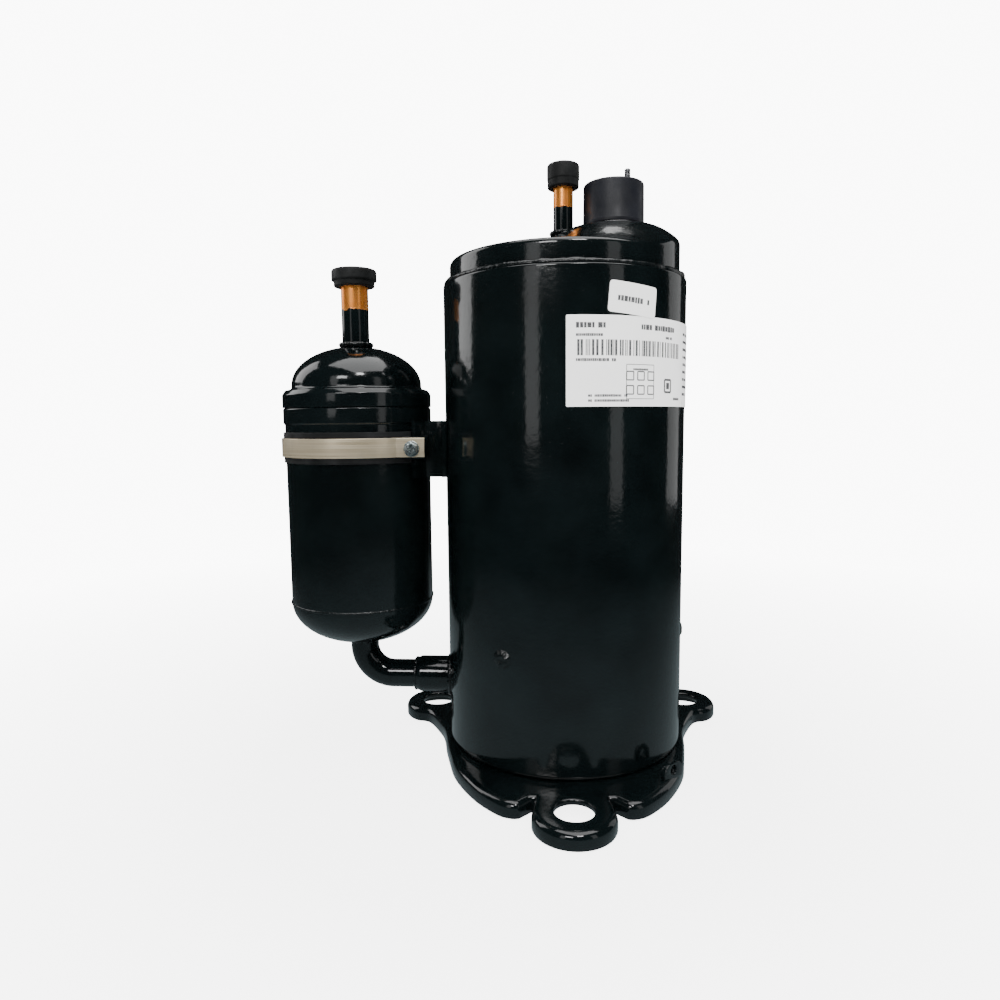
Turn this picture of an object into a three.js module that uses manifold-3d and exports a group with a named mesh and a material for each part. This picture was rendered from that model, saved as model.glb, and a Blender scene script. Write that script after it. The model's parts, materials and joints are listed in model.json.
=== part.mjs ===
// Hermetic rotary compressor with a side accumulator: casing, accumulator, terminal, motor and pump.
// Millimetres, +Z up. Every piece is modelled about the casing's axis, with z = 0 at the undersides of
// the feet; the last lines put the group's origin at the middle of the space it takes on the floor.
// Azimuths are in degrees about +Z, 0 at the front (-Y) and 90 at the right (+X).
import * as THREE from "three";
import { mergeVertices } from "three/addons/utils/BufferGeometryUtils.js";
import Module from "manifold-3d";

const wasm = await Module();
wasm.setup();

// ---------------------------------------------------------------- driving dimensions

const GAP = 0.3; // between touching pieces
const RUNNING_GAP = 0.3; // radial, on a journal
const FINE = 32; // sides of a casing-sized round
const MEDIUM = 20;
const SMALL = 12;
const TINY = 8;

const SHELL_RADIUS = 59;
const SHELL_WALL = 3;
const SHELL_HEIGHT = 226;
const CAP_WALL = 3;
const CAP_SKIRT = 10; // length of a cap's wall inside the shell
const DOME_RISE = 15.6; // from the shell's rim to the low side of the top cap
const DOME_FALL = 4.6; // from the dome's middle to its shoulder
const SHOULDER_RADIUS = 6;

const PLATFORM_OFFSET = 24.3; // terminal's axis to the shell's axis
const PLATFORM_RADIUS = 19;
const PLATFORM_SLOPE = 27; // length of the run down from the platform
const PLATFORM_RISE = 26.3; // from the shell's rim to the platform

const PLATE_HEIGHT = 7.5;
const PLATE_WALL = 2.8;
const PLATE_BEND = 3.4;
const PLATE_TURN = 2.1; // azimuth of the front foot
const FOOT_REACH = 22.5; // from the shell's wall to the middle of a foot
const FOOT_RADIUS = 18.3;
const FOOT_HOLE = 8.5;
const LUG_AZIMUTH = 44; // of the earthing lug that stands on the plate
const LUG_SPACE = 8.6; // from the shell's wall to the lug
const LUG_WIDTH = 13;
const LUG_RISE = 6.5; // above the plate
const LUG_HOLE = 2.2;
const DISH_RADIUS = 37;
const DISH_STEP = 4; // run of the dish's sloping side
const DISH_CLEARANCE = 2; // from the dish of the bottom cap to the floor

const DISCHARGE_RADIUS = 4.75;
const DISCHARGE_WALL = 0.9;
const DISCHARGE_LENGTH = 55.7; // above the shell's rim
const DISCHARGE_PLUG_RADIUS = 7.85;
const DISCHARGE_PLUG_HEIGHT = 11.2;

const TERMINAL_RADIUS = 10.5;
const TERMINAL_DISC = 3.2;
const TERMINAL_DEPTH = 10;
const PIN_CIRCLE = 5.2;
const PIN_RADIUS = 1.6;
const PIN_ABOVE = 13;
const PIN_BELOW = 14;
const GLASS_RADIUS = 2.8;
const STUD_OFFSET = 6.6; // from the terminal's axis
const STUD_RADIUS = 1.45;
const STUD_LENGTH = 27.6;
const COVER_RADIUS = 14.75;
const COVER_WALL = 1.6;
const COVER_HEIGHT = 19.7;
const GASKET_THICKNESS = 1;
const CONNECTOR_RADIUS = 9;
const CONNECTOR_HEIGHT = 9.5;
const LEAD_RADIUS = 1.3;

const ACCUMULATOR_CLEARANCE = 9.4; // between its wall and the shell's
const ACCUMULATOR_RADIUS = 36.2;
const ACCUMULATOR_WALL = 2;
const ACCUMULATOR_BASE = 54.7;
const ACCUMULATOR_SEAM = 77.5; // lower seam
const COLLAR_BASE = 176;
const COLLAR_TOP = 183;
const COLLAR_STEP = 0.9; // from the accumulator's wall out to its collar
const NECK_STEP = 3.8; // from the accumulator's wall in to the foot of its dome
const NECK_BASE = 187;
const ACCUMULATOR_TOP = 207;
const INLET_RADIUS = 6.75;
const INLET_WALL = 1;
const INLET_LENGTH = 35.3; // above the accumulator's dome
const SUCTION_PLUG_RADIUS = 11.2;
const SUCTION_PLUG_HEIGHT = 8.5;

const SUCTION_HEIGHT = 36.3; // level of the suction pipe and of the pump's cylinder
const SUCTION_RADIUS = 7.2;
const SUCTION_WALL = 1;
const SUCTION_BEND = 15.5;
const SUCTION_COLLAR_WALL = 1.75;
const SUCTION_COLLAR_REACH = 18; // outside the shell
const STANDPIPE_TOP = 160;

const BAND_HEIGHT = 156.5; // middle of the band
const BAND_WIDTH = 9.2;
const BAND_THICKNESS = 0.7;
const LINER_WIDTH = 15;
const LINER_THICKNESS = 0.6;
const BAND_END_AZIMUTH = 42; // where the band leaves the accumulator, from the front
const BRACKET_BASE = 141.5;
const BRACKET_TOP = 169;
const BRACKET_WALL = 2.4;
const BRACKET_HALF_WIDTH = 14.5;
const EAR_MARGIN = 1.2; // from the band's bore to the end of its ear
const EAR_LENGTH = 10;
const SCREW_RADIUS = 2;
const SCREW_HEAD_RADIUS = 3.8;

const NAMEPLATE_HEIGHT = 38;
const NAMEPLATE_SWEEP = 92;
const NAMEPLATE_DROP = 40.5; // from the shell's rim to the middle
const CAPACITY_WIDTH = 24;
const CAPACITY_HEIGHT = 13;
const CAPACITY_AZIMUTH = 29;
const CAPACITY_DROP = 14.6;
const CAPACITY_TILT = -5;
const LABEL_THICKNESS = 0.2;

const CYLINDER_HEIGHT = 24;
const CYLINDER_BORE = 24;
const PUMP_CLEARANCE = 0.8; // from the pump to the shell's bore
const ECCENTRICITY = 4;
const ECCENTRIC_RADIUS = 16;
const ROLLER_RADIUS = 19.7;
const SHAFT_RADIUS = 10;
const SHAFT_RISE = 18; // past the top of the stator's core
const SHAFT_CLEARANCE = 1.3; // from the shaft's foot to the bottom cap
const OIL_BORE = 4;
const VANE_AZIMUTH = -120;
const VANE_THICKNESS = 3.2;
const VANE_LENGTH = 22;
const SPRING_RADIUS = 2.9;
const SPRING_WIRE = 0.45;
const SPRING_TURNS = 5;
const MAIN_FLANGE = 8;
const MAIN_RIM = 10; // height of the main bearing's rim above its flange
const MAIN_HUB_RADIUS = 17;
const MAIN_HUB_HEIGHT = 36;
const LOWER_FLANGE = 7.5;
const LOWER_FLANGE_RADIUS = 49;
const LOWER_HUB_RADIUS = 15;
const LOWER_HUB_HEIGHT = 5;
const BOLT_CIRCLE = 43;
const BOLT_RADIUS = 2.4;
const BOLT_HEAD_RADIUS = 4.3;
const BOLT_AZIMUTHS = [-160, -40, 20, 80, 140];
const MUFFLER_WALL = 1.2;
const MUFFLER_RADIUS = 37.5;
const MUFFLER_HEIGHT = 14;

const VALVE_AZIMUTH = -145; // discharge port
const VALVE_PORT_CIRCLE = 22.5;
const VALVE_PORT_RADIUS = 3;
const VALVE_WIDTH = 8;
const VALVE_REACH = 20; // from the port to the rivet
const VALVE_THICKNESS = 0.4;
const STOP_THICKNESS = 1.4;
const STOP_LIFT = 1.9; // of the stop's free end
const RIVET_RADIUS = 1.5;

const STATOR_BASE = 112;
const STATOR_HEIGHT = 60;
const STATOR_BORE = 31;
const SLOT_COUNT = 24;
const YOKE = 9.7; // of the stator, outside its slots
const END_TURN = 18; // height of the winding past each end of the core
const AIR_GAP = 0.8;
const BAR_COUNT = 12;
const BAR_RADIUS = 1.6;
const END_RING = 8;
const WEIGHT_HEIGHT = 6;

// ---------------------------------------------------------------- derived levels and radii

const shellBase = PLATE_HEIGHT + GAP;
const shellTop = shellBase + SHELL_HEIGHT;
const shellBore = SHELL_RADIUS - SHELL_WALL;
const capRadius = shellBore - GAP;
const platformTop = shellTop + PLATFORM_RISE;
const terminalX = PLATFORM_OFFSET;
const gasketTop = platformTop + GAP + GASKET_THICKNESS;
const terminalTop = gasketTop - 0.5;
const coverBase = gasketTop + GAP;
const footCircle = SHELL_RADIUS + FOOT_REACH;
const plateOpening = DISH_RADIUS + DISH_STEP + 1;
const dischargeTop = shellTop + DISCHARGE_LENGTH;
const nameplateMiddle = shellTop - NAMEPLATE_DROP;
const capacityMiddle = shellTop - CAPACITY_DROP;
const accumulatorOffset = SHELL_RADIUS + ACCUMULATOR_CLEARANCE + ACCUMULATOR_RADIUS;
const accumulatorX = -accumulatorOffset;
const collarRadius = ACCUMULATOR_RADIUS + COLLAR_STEP;
const neckRadius = ACCUMULATOR_RADIUS - NECK_STEP;
const inletTop = ACCUMULATOR_TOP + INLET_LENGTH;
const suctionCollarRadius = SUCTION_RADIUS + GAP + SUCTION_COLLAR_WALL;
const linerRadius = ACCUMULATOR_RADIUS + GAP + LINER_THICKNESS;
const bandBore = linerRadius + GAP;
const earReach = bandBore + EAR_MARGIN;
const cylinderRadius = shellBore - PUMP_CLEARANCE;
const cylinderBase = SUCTION_HEIGHT - CYLINDER_HEIGHT / 2;
const cylinderTop = SUCTION_HEIGHT + CYLINDER_HEIGHT / 2;
const flangeBase = cylinderTop + GAP;
const flangeTop = flangeBase + MAIN_FLANGE;
const lowerTop = cylinderBase - GAP;
const lowerBase = lowerTop - LOWER_FLANGE;
const stackTop = STATOR_BASE + STATOR_HEIGHT;
const shaftTop = stackTop + SHAFT_RISE;
const slotRoot = capRadius - YOKE;
const rotorRadius = STATOR_BORE - AIR_GAP;
const vaneRest = CYLINDER_BORE + GAP; // radius of the vane's tip when it is pushed right back
const vaneBack = vaneRest + VANE_LENGTH;
const crankAzimuth = VANE_AZIMUTH + 90;

// ---------------------------------------------------------------- materials

function finish(color, roughness, metalness) {
  return new THREE.MeshStandardMaterial({ color, roughness, metalness });
}


const blackPaint = finish(0x0c1113, 0.18, 0.1);
const copper = finish(0xc4703f, 0.32, 1);
const rubber = finish(0x16171a, 0.7, 0);
const darkPlastic = finish(0x33343a, 0.45, 0);
const gasketGrey = finish(0x77787c, 0.8, 0);
const bandSteel = finish(0xbfb9a8, 0.35, 0.9);
const zinc = finish(0xa9b7b8, 0.35, 0.9);
const labelWhite = finish(0xf0f0ec, 0.5, 0);
const steel = finish(0x8c8f92, 0.4, 0.9);
const castIron = finish(0x55585a, 0.6, 0.7);
const lamination = finish(0x6c7075, 0.5, 0.8);
const magnetWire = finish(0xa6501f, 0.4, 0.5);
const aluminium = finish(0xc0c4c8, 0.4, 0.9);
const glass = finish(0x2a4a58, 0.2, 0);
const leadJacket = finish(0xd8d8d2, 0.6, 0);

// ---------------------------------------------------------------- solids

const radians = THREE.MathUtils.degToRad;

function at(radius, azimuth, z = 0) {
  return new THREE.Vector3(radius * Math.sin(radians(azimuth)), -radius * Math.cos(radians(azimuth)), z);
}

function solidOf(geometry) {
  const bare = new THREE.BufferGeometry();
  const loose = geometry.index ? geometry.toNonIndexed() : geometry;
  bare.setAttribute("position", loose.getAttribute("position").clone());
  const merged = mergeVertices(bare, 1e-4);
  const vertProperties = merged.attributes.position.array;
  const triVerts = new Uint32Array(merged.index.array);
  return new wasm.Manifold(new wasm.Mesh({ numProp: 3, vertProperties, triVerts }));
}

function geometryOf(solid) {
  const mesh = solid.getMesh();
  const geometry = new THREE.BufferGeometry();
  geometry.setAttribute("position", new THREE.BufferAttribute(new Float32Array(mesh.vertProperties), 3));
  geometry.setIndex(new THREE.BufferAttribute(new Uint32Array(mesh.triVerts), 1));
  geometry.computeVertexNormals();
  return geometry;
}

function join(...geometries) {
  return geometryOf(geometries.map(solidOf).reduce((whole, next) => whole.add(next)));
}

function cut(body, ...tools) {
  return geometryOf(tools.map(solidOf).reduce((left, tool) => left.subtract(tool), solidOf(body)));
}

// A profile of [radius, z] turned about the Z axis. It starts and ends on the axis, or closes on itself.
function revolve(profile, sides) {
  const points = profile.map(([radius, z]) => new THREE.Vector2(radius, z));
  const hollow = profile[0][0] > 0;
  if (THREE.ShapeUtils.area(points) < 0) points.reverse();
  if (hollow) points.push(points[0].clone());
  return new THREE.LatheGeometry(points, sides).rotateX(Math.PI / 2);
}

function ring(inner, outer, base, top, sides) {
  return revolve([[inner, base], [outer, base], [outer, top], [inner, top]], sides);
}

function disc(radius, base, top, sides) {
  return revolve([[0, base], [radius, base], [radius, top], [0, top]], sides);
}

// A quarter of an ellipse as [radius, z] points, from the axis side down to the wall.
function quarterDome(innerRadius, outerRadius, wallZ, topZ, steps) {
  return Array.from({ length: steps + 1 }, (_, i) => {
    const reach = innerRadius / outerRadius;
    const angle = Math.asin(reach) + ((Math.PI / 2 - Math.asin(reach)) * i) / steps;
    return [outerRadius * Math.sin(angle), wallZ + (topZ - wallZ) * Math.cos(angle)];
  });
}

function prism(shape, base, top, curveSegments = TINY) {
  const options = { depth: top - base, bevelEnabled: false, curveSegments };
  return new THREE.ExtrudeGeometry(shape, options).translate(0, 0, base);
}

function block(x0, x1, y0, y1, z0, z1) {
  const box = new THREE.BoxGeometry(x1 - x0, y1 - y0, z1 - z0);
  return box.translate((x0 + x1) / 2, (y0 + y1) / 2, (z0 + z1) / 2);
}

// A flat sector of a ring, between two azimuths.
function sector(inner, outer, from, to, base, top) {
  const start = radians(from - 90);
  const end = radians(to - 90);
  const shape = new THREE.Shape();
  shape.absarc(0, 0, outer, start, end, false);
  shape.absarc(0, 0, inner, end, start, true);
  shape.closePath();
  return prism(shape, base, top, Math.ceil(Math.abs(to - from) / (360 / FINE)) + 1);
}

function post(radius, centre, base, top, sides) {
  return disc(radius, base, top, sides).translate(centre.x, centre.y, 0);
}

// Rings of points, each of the same count, skinned from the top one to the bottom one. A ring of one
// point is a pole; a first or last ring of more is closed by a flat face.
function skin(rings) {
  const vertices = rings.flat();
  const starts = rings.map((_, i) => rings.slice(0, i).reduce((sum, r) => sum + r.length, 0));
  const index = [];
  for (let k = 0; k + 1 < rings.length; k++) {
    const [upper, lower] = [rings[k], rings[k + 1]];
    const count = Math.max(upper.length, lower.length);
    for (let i = 0; i < count; i++) {
      const next = (i + 1) % count;
      const a = starts[k] + (upper.length > 1 ? i : 0);
      const b = starts[k] + (upper.length > 1 ? next : 0);
      const c = starts[k + 1] + (lower.length > 1 ? i : 0);
      const d = starts[k + 1] + (lower.length > 1 ? next : 0);
      if (lower.length > 1) index.push(a, c, d);
      if (upper.length > 1) index.push(a, lower.length > 1 ? d : c, b);
    }
  }
  const close = (ring, start, up) => {
    const flat = ring.map((p) => new THREE.Vector2(p.x, p.y));
    for (const [a, b, c] of THREE.ShapeUtils.triangulateShape(flat, [])) {
      index.push(start + a, start + (up ? b : c), start + (up ? c : b));
    }
  };
  if (rings[0].length > 1) close(rings[0], 0, true);
  if (rings.at(-1).length > 1) close(rings.at(-1), starts.at(-1), false);
  const geometry = new THREE.BufferGeometry().setFromPoints(vertices);
  geometry.setIndex(index);
  return geometry;
}

function tube(curve, radius, wall, steps, sides) {
  const section = new THREE.Shape().absarc(0, 0, radius, 0, 2 * Math.PI, false);
  if (wall > 0) section.holes.push(new THREE.Path().absarc(0, 0, radius - wall, 0, 2 * Math.PI, true));
  const options = { steps, extrudePath: curve, curveSegments: sides, bevelEnabled: false };
  return new THREE.ExtrudeGeometry(section, options);
}

// A box bent round the Z axis at a radius, turned by a tilt in its own plane.
function sticker(width, height, radius, azimuth, middle, tilt) {
  const sheet = new THREE.BoxGeometry(width, height, LABEL_THICKNESS, 10, 1, 1);
  sheet.rotateZ(radians(tilt));
  const position = sheet.getAttribute("position");
  for (let i = 0; i < position.count; i++) {
    const turn = azimuth + THREE.MathUtils.radToDeg(position.getX(i) / radius);
    const reach = radius + LABEL_THICKNESS / 2 + position.getZ(i);
    const spot = at(reach, turn, middle + position.getY(i));
    position.setXYZ(i, spot.x, spot.y, spot.z);
  }
  return sheet;
}

const assembly = new THREE.Group();

function add(name, geometry, material, parent = assembly) {
  const mesh = new THREE.Mesh(geometry, material);
  mesh.name = name;
  parent.add(mesh);
}

// ---------------------------------------------------------------- casing

function mainShell() {
  const corner = 1.2;
  const tubeWall = revolve(
    [
      [shellBore, shellBase],
      [SHELL_RADIUS - corner, shellBase],
      [SHELL_RADIUS, shellBase + corner],
      [SHELL_RADIUS, shellTop - corner / 2],
      [SHELL_RADIUS - corner / 2, shellTop],
      [shellBore, shellTop],
    ],
    FINE,
  );
  const port = disc(suctionCollarRadius + GAP, 0, SHELL_RADIUS, MEDIUM).rotateY(-Math.PI / 2);
  return cut(tubeWall, port.translate(-SHELL_RADIUS / 2, 0, SUCTION_HEIGHT));
}

// Height of the top cap's outer face: a low dome with a rounded shoulder, and a platform on one side.
function capHeight(x, y) {
  const radius = Math.hypot(x, y);
  const low = shellTop + DOME_RISE - DOME_FALL * (radius / capRadius) ** 2;
  const past = Math.min(Math.max(radius - (capRadius - SHOULDER_RADIUS), 0), SHOULDER_RADIUS);
  const shoulder = SHOULDER_RADIUS - Math.sqrt(SHOULDER_RADIUS ** 2 - past ** 2);
  const away = Math.hypot(x - terminalX, y);
  const slope = THREE.MathUtils.smoothstep(away, PLATFORM_RADIUS, PLATFORM_RADIUS + PLATFORM_SLOPE);
  return low - shoulder + (platformTop - low) * (1 - slope);
}

function topCap() {
  const reaches = [0.18, 0.36, 0.54, 0.7, 0.82, 0.91, 0.97, 1];
  const scale = (capRadius - CAP_WALL) / capRadius;
  const azimuths = Array.from({ length: FINE }, (_, i) => (360 / FINE) * i);
  const outer = reaches.map((reach) =>
    azimuths.map((azimuth) => {
      const spot = at(capRadius * reach, azimuth);
      return spot.setZ(capHeight(spot.x, spot.y));
    }),
  );
  const lowered = (p) => new THREE.Vector3(p.x * scale, p.y * scale, p.z - CAP_WALL);
  const inner = outer.filter((_, i) => i % 2 === 1).map((points) => points.map(lowered));
  const skirtBase = shellTop - CAP_SKIRT;
  const outerPole = [new THREE.Vector3(0, 0, capHeight(0, 0))];
  const innerPole = [new THREE.Vector3(0, 0, capHeight(0, 0) - CAP_WALL)];
  const outerFoot = azimuths.map((azimuth) => at(capRadius, azimuth, skirtBase));
  const innerFoot = azimuths.map((azimuth) => at(capRadius - CAP_WALL, azimuth, skirtBase));
  const shell = skin([outerPole, ...outer, outerFoot, innerFoot, ...inner.reverse(), innerPole]);
  const tubeHole = disc(DISCHARGE_RADIUS + GAP, skirtBase, platformTop, SMALL);
  const terminalHole = post(TERMINAL_RADIUS + GAP, at(terminalX, 90), skirtBase, platformTop + 1, MEDIUM);
  return cut(shell, tubeHole, terminalHole);
}

function bottomCap() {
  const seat = shellBase;
  const floor = DISH_CLEARANCE;
  const skirtTop = seat + CAP_SKIRT;
  const step = DISH_STEP;
  const corner = 4;
  return revolve(
    [
      [0, floor],
      [DISH_RADIUS, floor],
      [DISH_RADIUS + step, seat],
      [capRadius - corner, seat],
      [capRadius, seat + corner],
      [capRadius, skirtTop],
      [capRadius - CAP_WALL, skirtTop],
      [capRadius - CAP_WALL, seat + corner + 1],
      [capRadius - corner - 1, seat + CAP_WALL],
      [DISH_RADIUS + step - 1, seat + CAP_WALL],
      [DISH_RADIUS - 1, floor + CAP_WALL],
      [0, floor + CAP_WALL],
    ],
    FINE,
  );
}

// ---------------------------------------------------------------- base plate

// The plate's outline: a round lobe at each foot, with webs between them that are full beside the front
// foot and waisted beside the shell.
function plateOutline() {
  const waist = SHELL_RADIUS + 3;
  const frontWeb = [
    [13.4, footCircle - 8.8],
    [15.6, footCircle - 5],
    [17, footCircle - 2],
    [19.6, footCircle - 0.8],
    [24, footCircle - 1.4],
    [33, waist + 14],
    [43, waist + 9.4],
    [53, waist + 5.6],
    [63, waist + 2],
    [76, waist],
    [89, waist + 0.6],
    [98, waist + 5],
  ];
  const rearWeb = [[141, waist + 5], [152, waist + 1], [166, waist]];
  const lobe = (foot, from, to) => {
    const centre = at(footCircle, foot);
    const steps = 10;
    return Array.from({ length: steps + 1 }, (_, i) =>
      at(FOOT_RADIUS, foot + from + ((to - from) * i) / steps).add(centre),
    );
  };
  const right = frontWeb.map(([azimuth, radius]) => at(radius, azimuth));
  const left = frontWeb.map(([azimuth, radius]) => at(radius, -azimuth)).reverse();
  const backRight = rearWeb.map(([azimuth, radius]) => at(radius, azimuth));
  const backLeft = rearWeb.map(([azimuth, radius]) => at(radius, -azimuth)).reverse();
  const points = [
    ...lobe(0, -105, 105),
    ...right,
    ...lobe(120, -110, 106),
    ...backRight,
    at(waist, 180),
    ...backLeft,
    ...lobe(240, -106, 110),
    ...left,
  ];
  return points.map((p) => p.applyAxisAngle(new THREE.Vector3(0, 0, 1), radians(PLATE_TURN)));
}

// The outline moved inward by a distance, at a height.
function inset(outline, distance, z) {
  return outline.map((point, i) => {
    const before = outline.at(i - 1);
    const after = outline[(i + 1) % outline.length];
    const along = after.clone().sub(before).normalize();
    return new THREE.Vector3(point.x - along.y * distance, point.y + along.x * distance, z);
  });
}

function bendRings(outline, outset, top, bend) {
  const steps = 2;
  return Array.from({ length: steps + 1 }, (_, i) => {
    const angle = (Math.PI / 2) * (i / steps);
    return inset(outline, outset + bend * (1 - Math.sin(angle)), top - bend * (1 - Math.cos(angle)));
  });
}

function basePlate() {
  const outline = plateOutline();
  const underside = PLATE_HEIGHT - PLATE_WALL;
  const innerBend = PLATE_BEND - PLATE_WALL;
  const outer = skin([...bendRings(outline, 0, PLATE_HEIGHT, PLATE_BEND), inset(outline, 0, 0)]);
  const innerFoot = inset(outline, PLATE_WALL, -1);
  const inner = skin([...bendRings(outline, PLATE_WALL, underside, innerBend), innerFoot]);
  const holes = [0, 120, 240].map((foot) =>
    post(FOOT_HOLE, at(footCircle, foot + PLATE_TURN), 0, PLATE_HEIGHT + 1, MEDIUM),
  );
  const opening = disc(plateOpening, 0, PLATE_HEIGHT + 1, FINE);
  const plate = cut(outer, inner, opening, ...holes);
  const lugFace = SHELL_RADIUS + LUG_SPACE + PLATE_WALL;
  const lugFoot = PLATE_HEIGHT - PLATE_WALL / 2;
  const lugTop = PLATE_HEIGHT + LUG_RISE;
  const halfLug = LUG_WIDTH / 2;
  const lug = block(-halfLug, halfLug, -lugFace, -lugFace + PLATE_WALL, lugFoot, lugTop);
  const drill = disc(LUG_HOLE, 0, lugFace + 1, TINY).rotateX(Math.PI / 2);
  drill.translate(0, 0, lugTop - LUG_RISE / 2);
  const turn = radians(LUG_AZIMUTH);
  return join(plate, cut(lug, drill).rotateZ(turn));
}

add("main_shell", mainShell(), blackPaint);
add("top_cap", topCap(), blackPaint);
add("bottom_cap", bottomCap(), blackPaint);
add("base_plate", basePlate(), blackPaint);

// ---------------------------------------------------------------- discharge stub

// A cup that slips over the end of a stub.
function plug(radius, height, stubRadius, stubTop) {
  const roof = 1.8;
  const ease = 0.9;
  const base = stubTop + GAP + roof - height;
  const top = base + height;
  const socket = stubRadius + GAP;
  return revolve(
    [
      [0, top],
      [radius - ease, top],
      [radius, top - ease],
      [radius, base + ease],
      [radius - ease, base],
      [socket, base],
      [socket, stubTop + GAP],
      [0, stubTop + GAP],
    ],
    MEDIUM,
  );
}

function dischargeTube() {
  const foot = shellTop - CAP_SKIRT;
  return ring(DISCHARGE_RADIUS - DISCHARGE_WALL, DISCHARGE_RADIUS, foot, dischargeTop, SMALL);
}

add("discharge_tube", dischargeTube(), copper);
const dischargePlug = [DISCHARGE_PLUG_RADIUS, DISCHARGE_PLUG_HEIGHT, DISCHARGE_RADIUS, dischargeTop];
add("discharge_plug", plug(...dischargePlug), rubber);

// ---------------------------------------------------------------- terminal

const terminal = new THREE.Group();
terminal.position.x = terminalX;
assembly.add(terminal);

const pinAzimuths = [-90, 30, 150];
const discBase = terminalTop - TERMINAL_DISC;
const connectorTop = terminalTop - TERMINAL_DEPTH - 1;
const connectorBase = connectorTop - CONNECTOR_HEIGHT;
const pinFoot = terminalTop - TERMINAL_DISC - PIN_BELOW;

function terminalBody() {
  const skirt = 1.6;
  const base = terminalTop - TERMINAL_DEPTH;
  const lipTop = platformTop - CAP_WALL - 2;
  const body = revolve(
    [
      [0, terminalTop],
      [TERMINAL_RADIUS, terminalTop],
      [TERMINAL_RADIUS, lipTop],
      [TERMINAL_RADIUS + 2, lipTop],
      [TERMINAL_RADIUS + 2, lipTop - 1.5],
      [TERMINAL_RADIUS, lipTop - 1.5],
      [TERMINAL_RADIUS, base],
      [TERMINAL_RADIUS - skirt, base],
      [TERMINAL_RADIUS - skirt, discBase],
      [0, discBase],
    ],
    MEDIUM,
  );
  const holes = pinAzimuths.map((azimuth) =>
    post(GLASS_RADIUS + GAP, at(PIN_CIRCLE, azimuth), discBase - 1, terminalTop + 1, SMALL),
  );
  return cut(body, ...holes);
}

function terminalCover() {
  const top = coverBase + COVER_HEIGHT;
  const ease = 1;
  const cup = revolve(
    [
      [0, top],
      [COVER_RADIUS - ease, top],
      [COVER_RADIUS, top - ease],
      [COVER_RADIUS, coverBase],
      [COVER_RADIUS - COVER_WALL, coverBase],
      [COVER_RADIUS - COVER_WALL, top - COVER_WALL],
      [0, top - COVER_WALL],
    ],
    FINE,
  );
  return cut(cup, post(STUD_RADIUS + GAP, at(STUD_OFFSET, 90), coverBase, top + 1, TINY));
}

function connectorBlock() {
  const holes = pinAzimuths.map((azimuth) =>
    post(PIN_RADIUS + GAP, at(PIN_CIRCLE, azimuth), connectorBase - 1, connectorTop + 1, TINY),
  );
  return cut(disc(CONNECTOR_RADIUS, connectorBase, connectorTop, MEDIUM), ...holes);
}

add("terminal_body", terminalBody(), steel, terminal);
pinAzimuths.forEach((azimuth, i) => {
  const spot = at(PIN_CIRCLE, azimuth);
  const bead = ring(PIN_RADIUS + GAP, GLASS_RADIUS, discBase, terminalTop, SMALL);
  const pin = post(PIN_RADIUS, spot, pinFoot, terminalTop + PIN_ABOVE, SMALL);
  add("terminal_glass_" + (i + 1), bead.translate(spot.x, spot.y, 0), glass, terminal);
  add("terminal_pin_" + (i + 1), pin, copper, terminal);
});
const studFoot = terminalTop + GAP;
const stud = post(STUD_RADIUS, at(STUD_OFFSET, 90), studFoot, studFoot + STUD_LENGTH, SMALL);
const gasket = ring(TERMINAL_RADIUS + GAP, COVER_RADIUS, platformTop + GAP, gasketTop, FINE);
add("terminal_stud", stud, steel, terminal);
add("terminal_gasket", gasket, gasketGrey, terminal);
add("terminal_cover", terminalCover(), darkPlastic, terminal);
add("connector_block", connectorBlock(), darkPlastic, terminal);

pinAzimuths.forEach((azimuth, i) => {
  const spot = at(PIN_CIRCLE, azimuth).add(at(terminalX, 90));
  const slack = at((STATOR_BORE + slotRoot) / 2, 20 + 60 * i, stackTop + END_TURN + GAP);
  const route = new THREE.CatmullRomCurve3([
    slack,
    slack.clone().setZ(slack.z + 12),
    spot.clone().lerp(slack, 0.3).setZ(connectorBase - 16),
    spot.clone().setZ(connectorBase - 5),
    spot.clone().setZ(connectorBase),
    spot.clone().setZ(pinFoot - GAP),
  ]);
  add("lead_wire_" + (i + 1), tube(route, LEAD_RADIUS, 0, 14, 3), leadJacket);
});

// ---------------------------------------------------------------- accumulator

const accumulator = new THREE.Group();
accumulator.position.x = accumulatorX;
assembly.add(accumulator);

const vesselBore = ACCUMULATOR_RADIUS - ACCUMULATOR_WALL;

function accumulatorTopCap() {
  const hole = INLET_RADIUS + GAP;
  const outer = quarterDome(hole, neckRadius, NECK_BASE, ACCUMULATOR_TOP, 5);
  const roof = ACCUMULATOR_TOP - ACCUMULATOR_WALL;
  const inner = quarterDome(hole, neckRadius - ACCUMULATOR_WALL, NECK_BASE, roof, 3);
  return revolve(
    [
      ...outer,
      [neckRadius + 2.5, NECK_BASE - 1],
      [collarRadius, COLLAR_TOP],
      [collarRadius, COLLAR_BASE],
      [ACCUMULATOR_RADIUS + GAP, COLLAR_BASE],
      [ACCUMULATOR_RADIUS + GAP, COLLAR_TOP - 1],
      ...inner.reverse(),
    ],
    FINE,
  );
}

function accumulatorBottomCap() {
  const hole = SUCTION_RADIUS + GAP;
  const seam = ACCUMULATOR_SEAM;
  const bore = vesselBore - ACCUMULATOR_WALL;
  const outer = quarterDome(hole, ACCUMULATOR_RADIUS, seam, ACCUMULATOR_BASE, 5);
  const inner = quarterDome(hole, bore, seam, ACCUMULATOR_BASE + ACCUMULATOR_WALL, 3);
  const lip = seam + 5;
  return revolve(
    [...outer, [vesselBore - GAP, seam], [vesselBore - GAP, lip], [bore, lip], ...inner.reverse()],
    FINE,
  );
}

function inletTube() {
  const foot = ACCUMULATOR_TOP - 8;
  return ring(INLET_RADIUS - INLET_WALL, INLET_RADIUS, foot, inletTop, SMALL);
}

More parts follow.
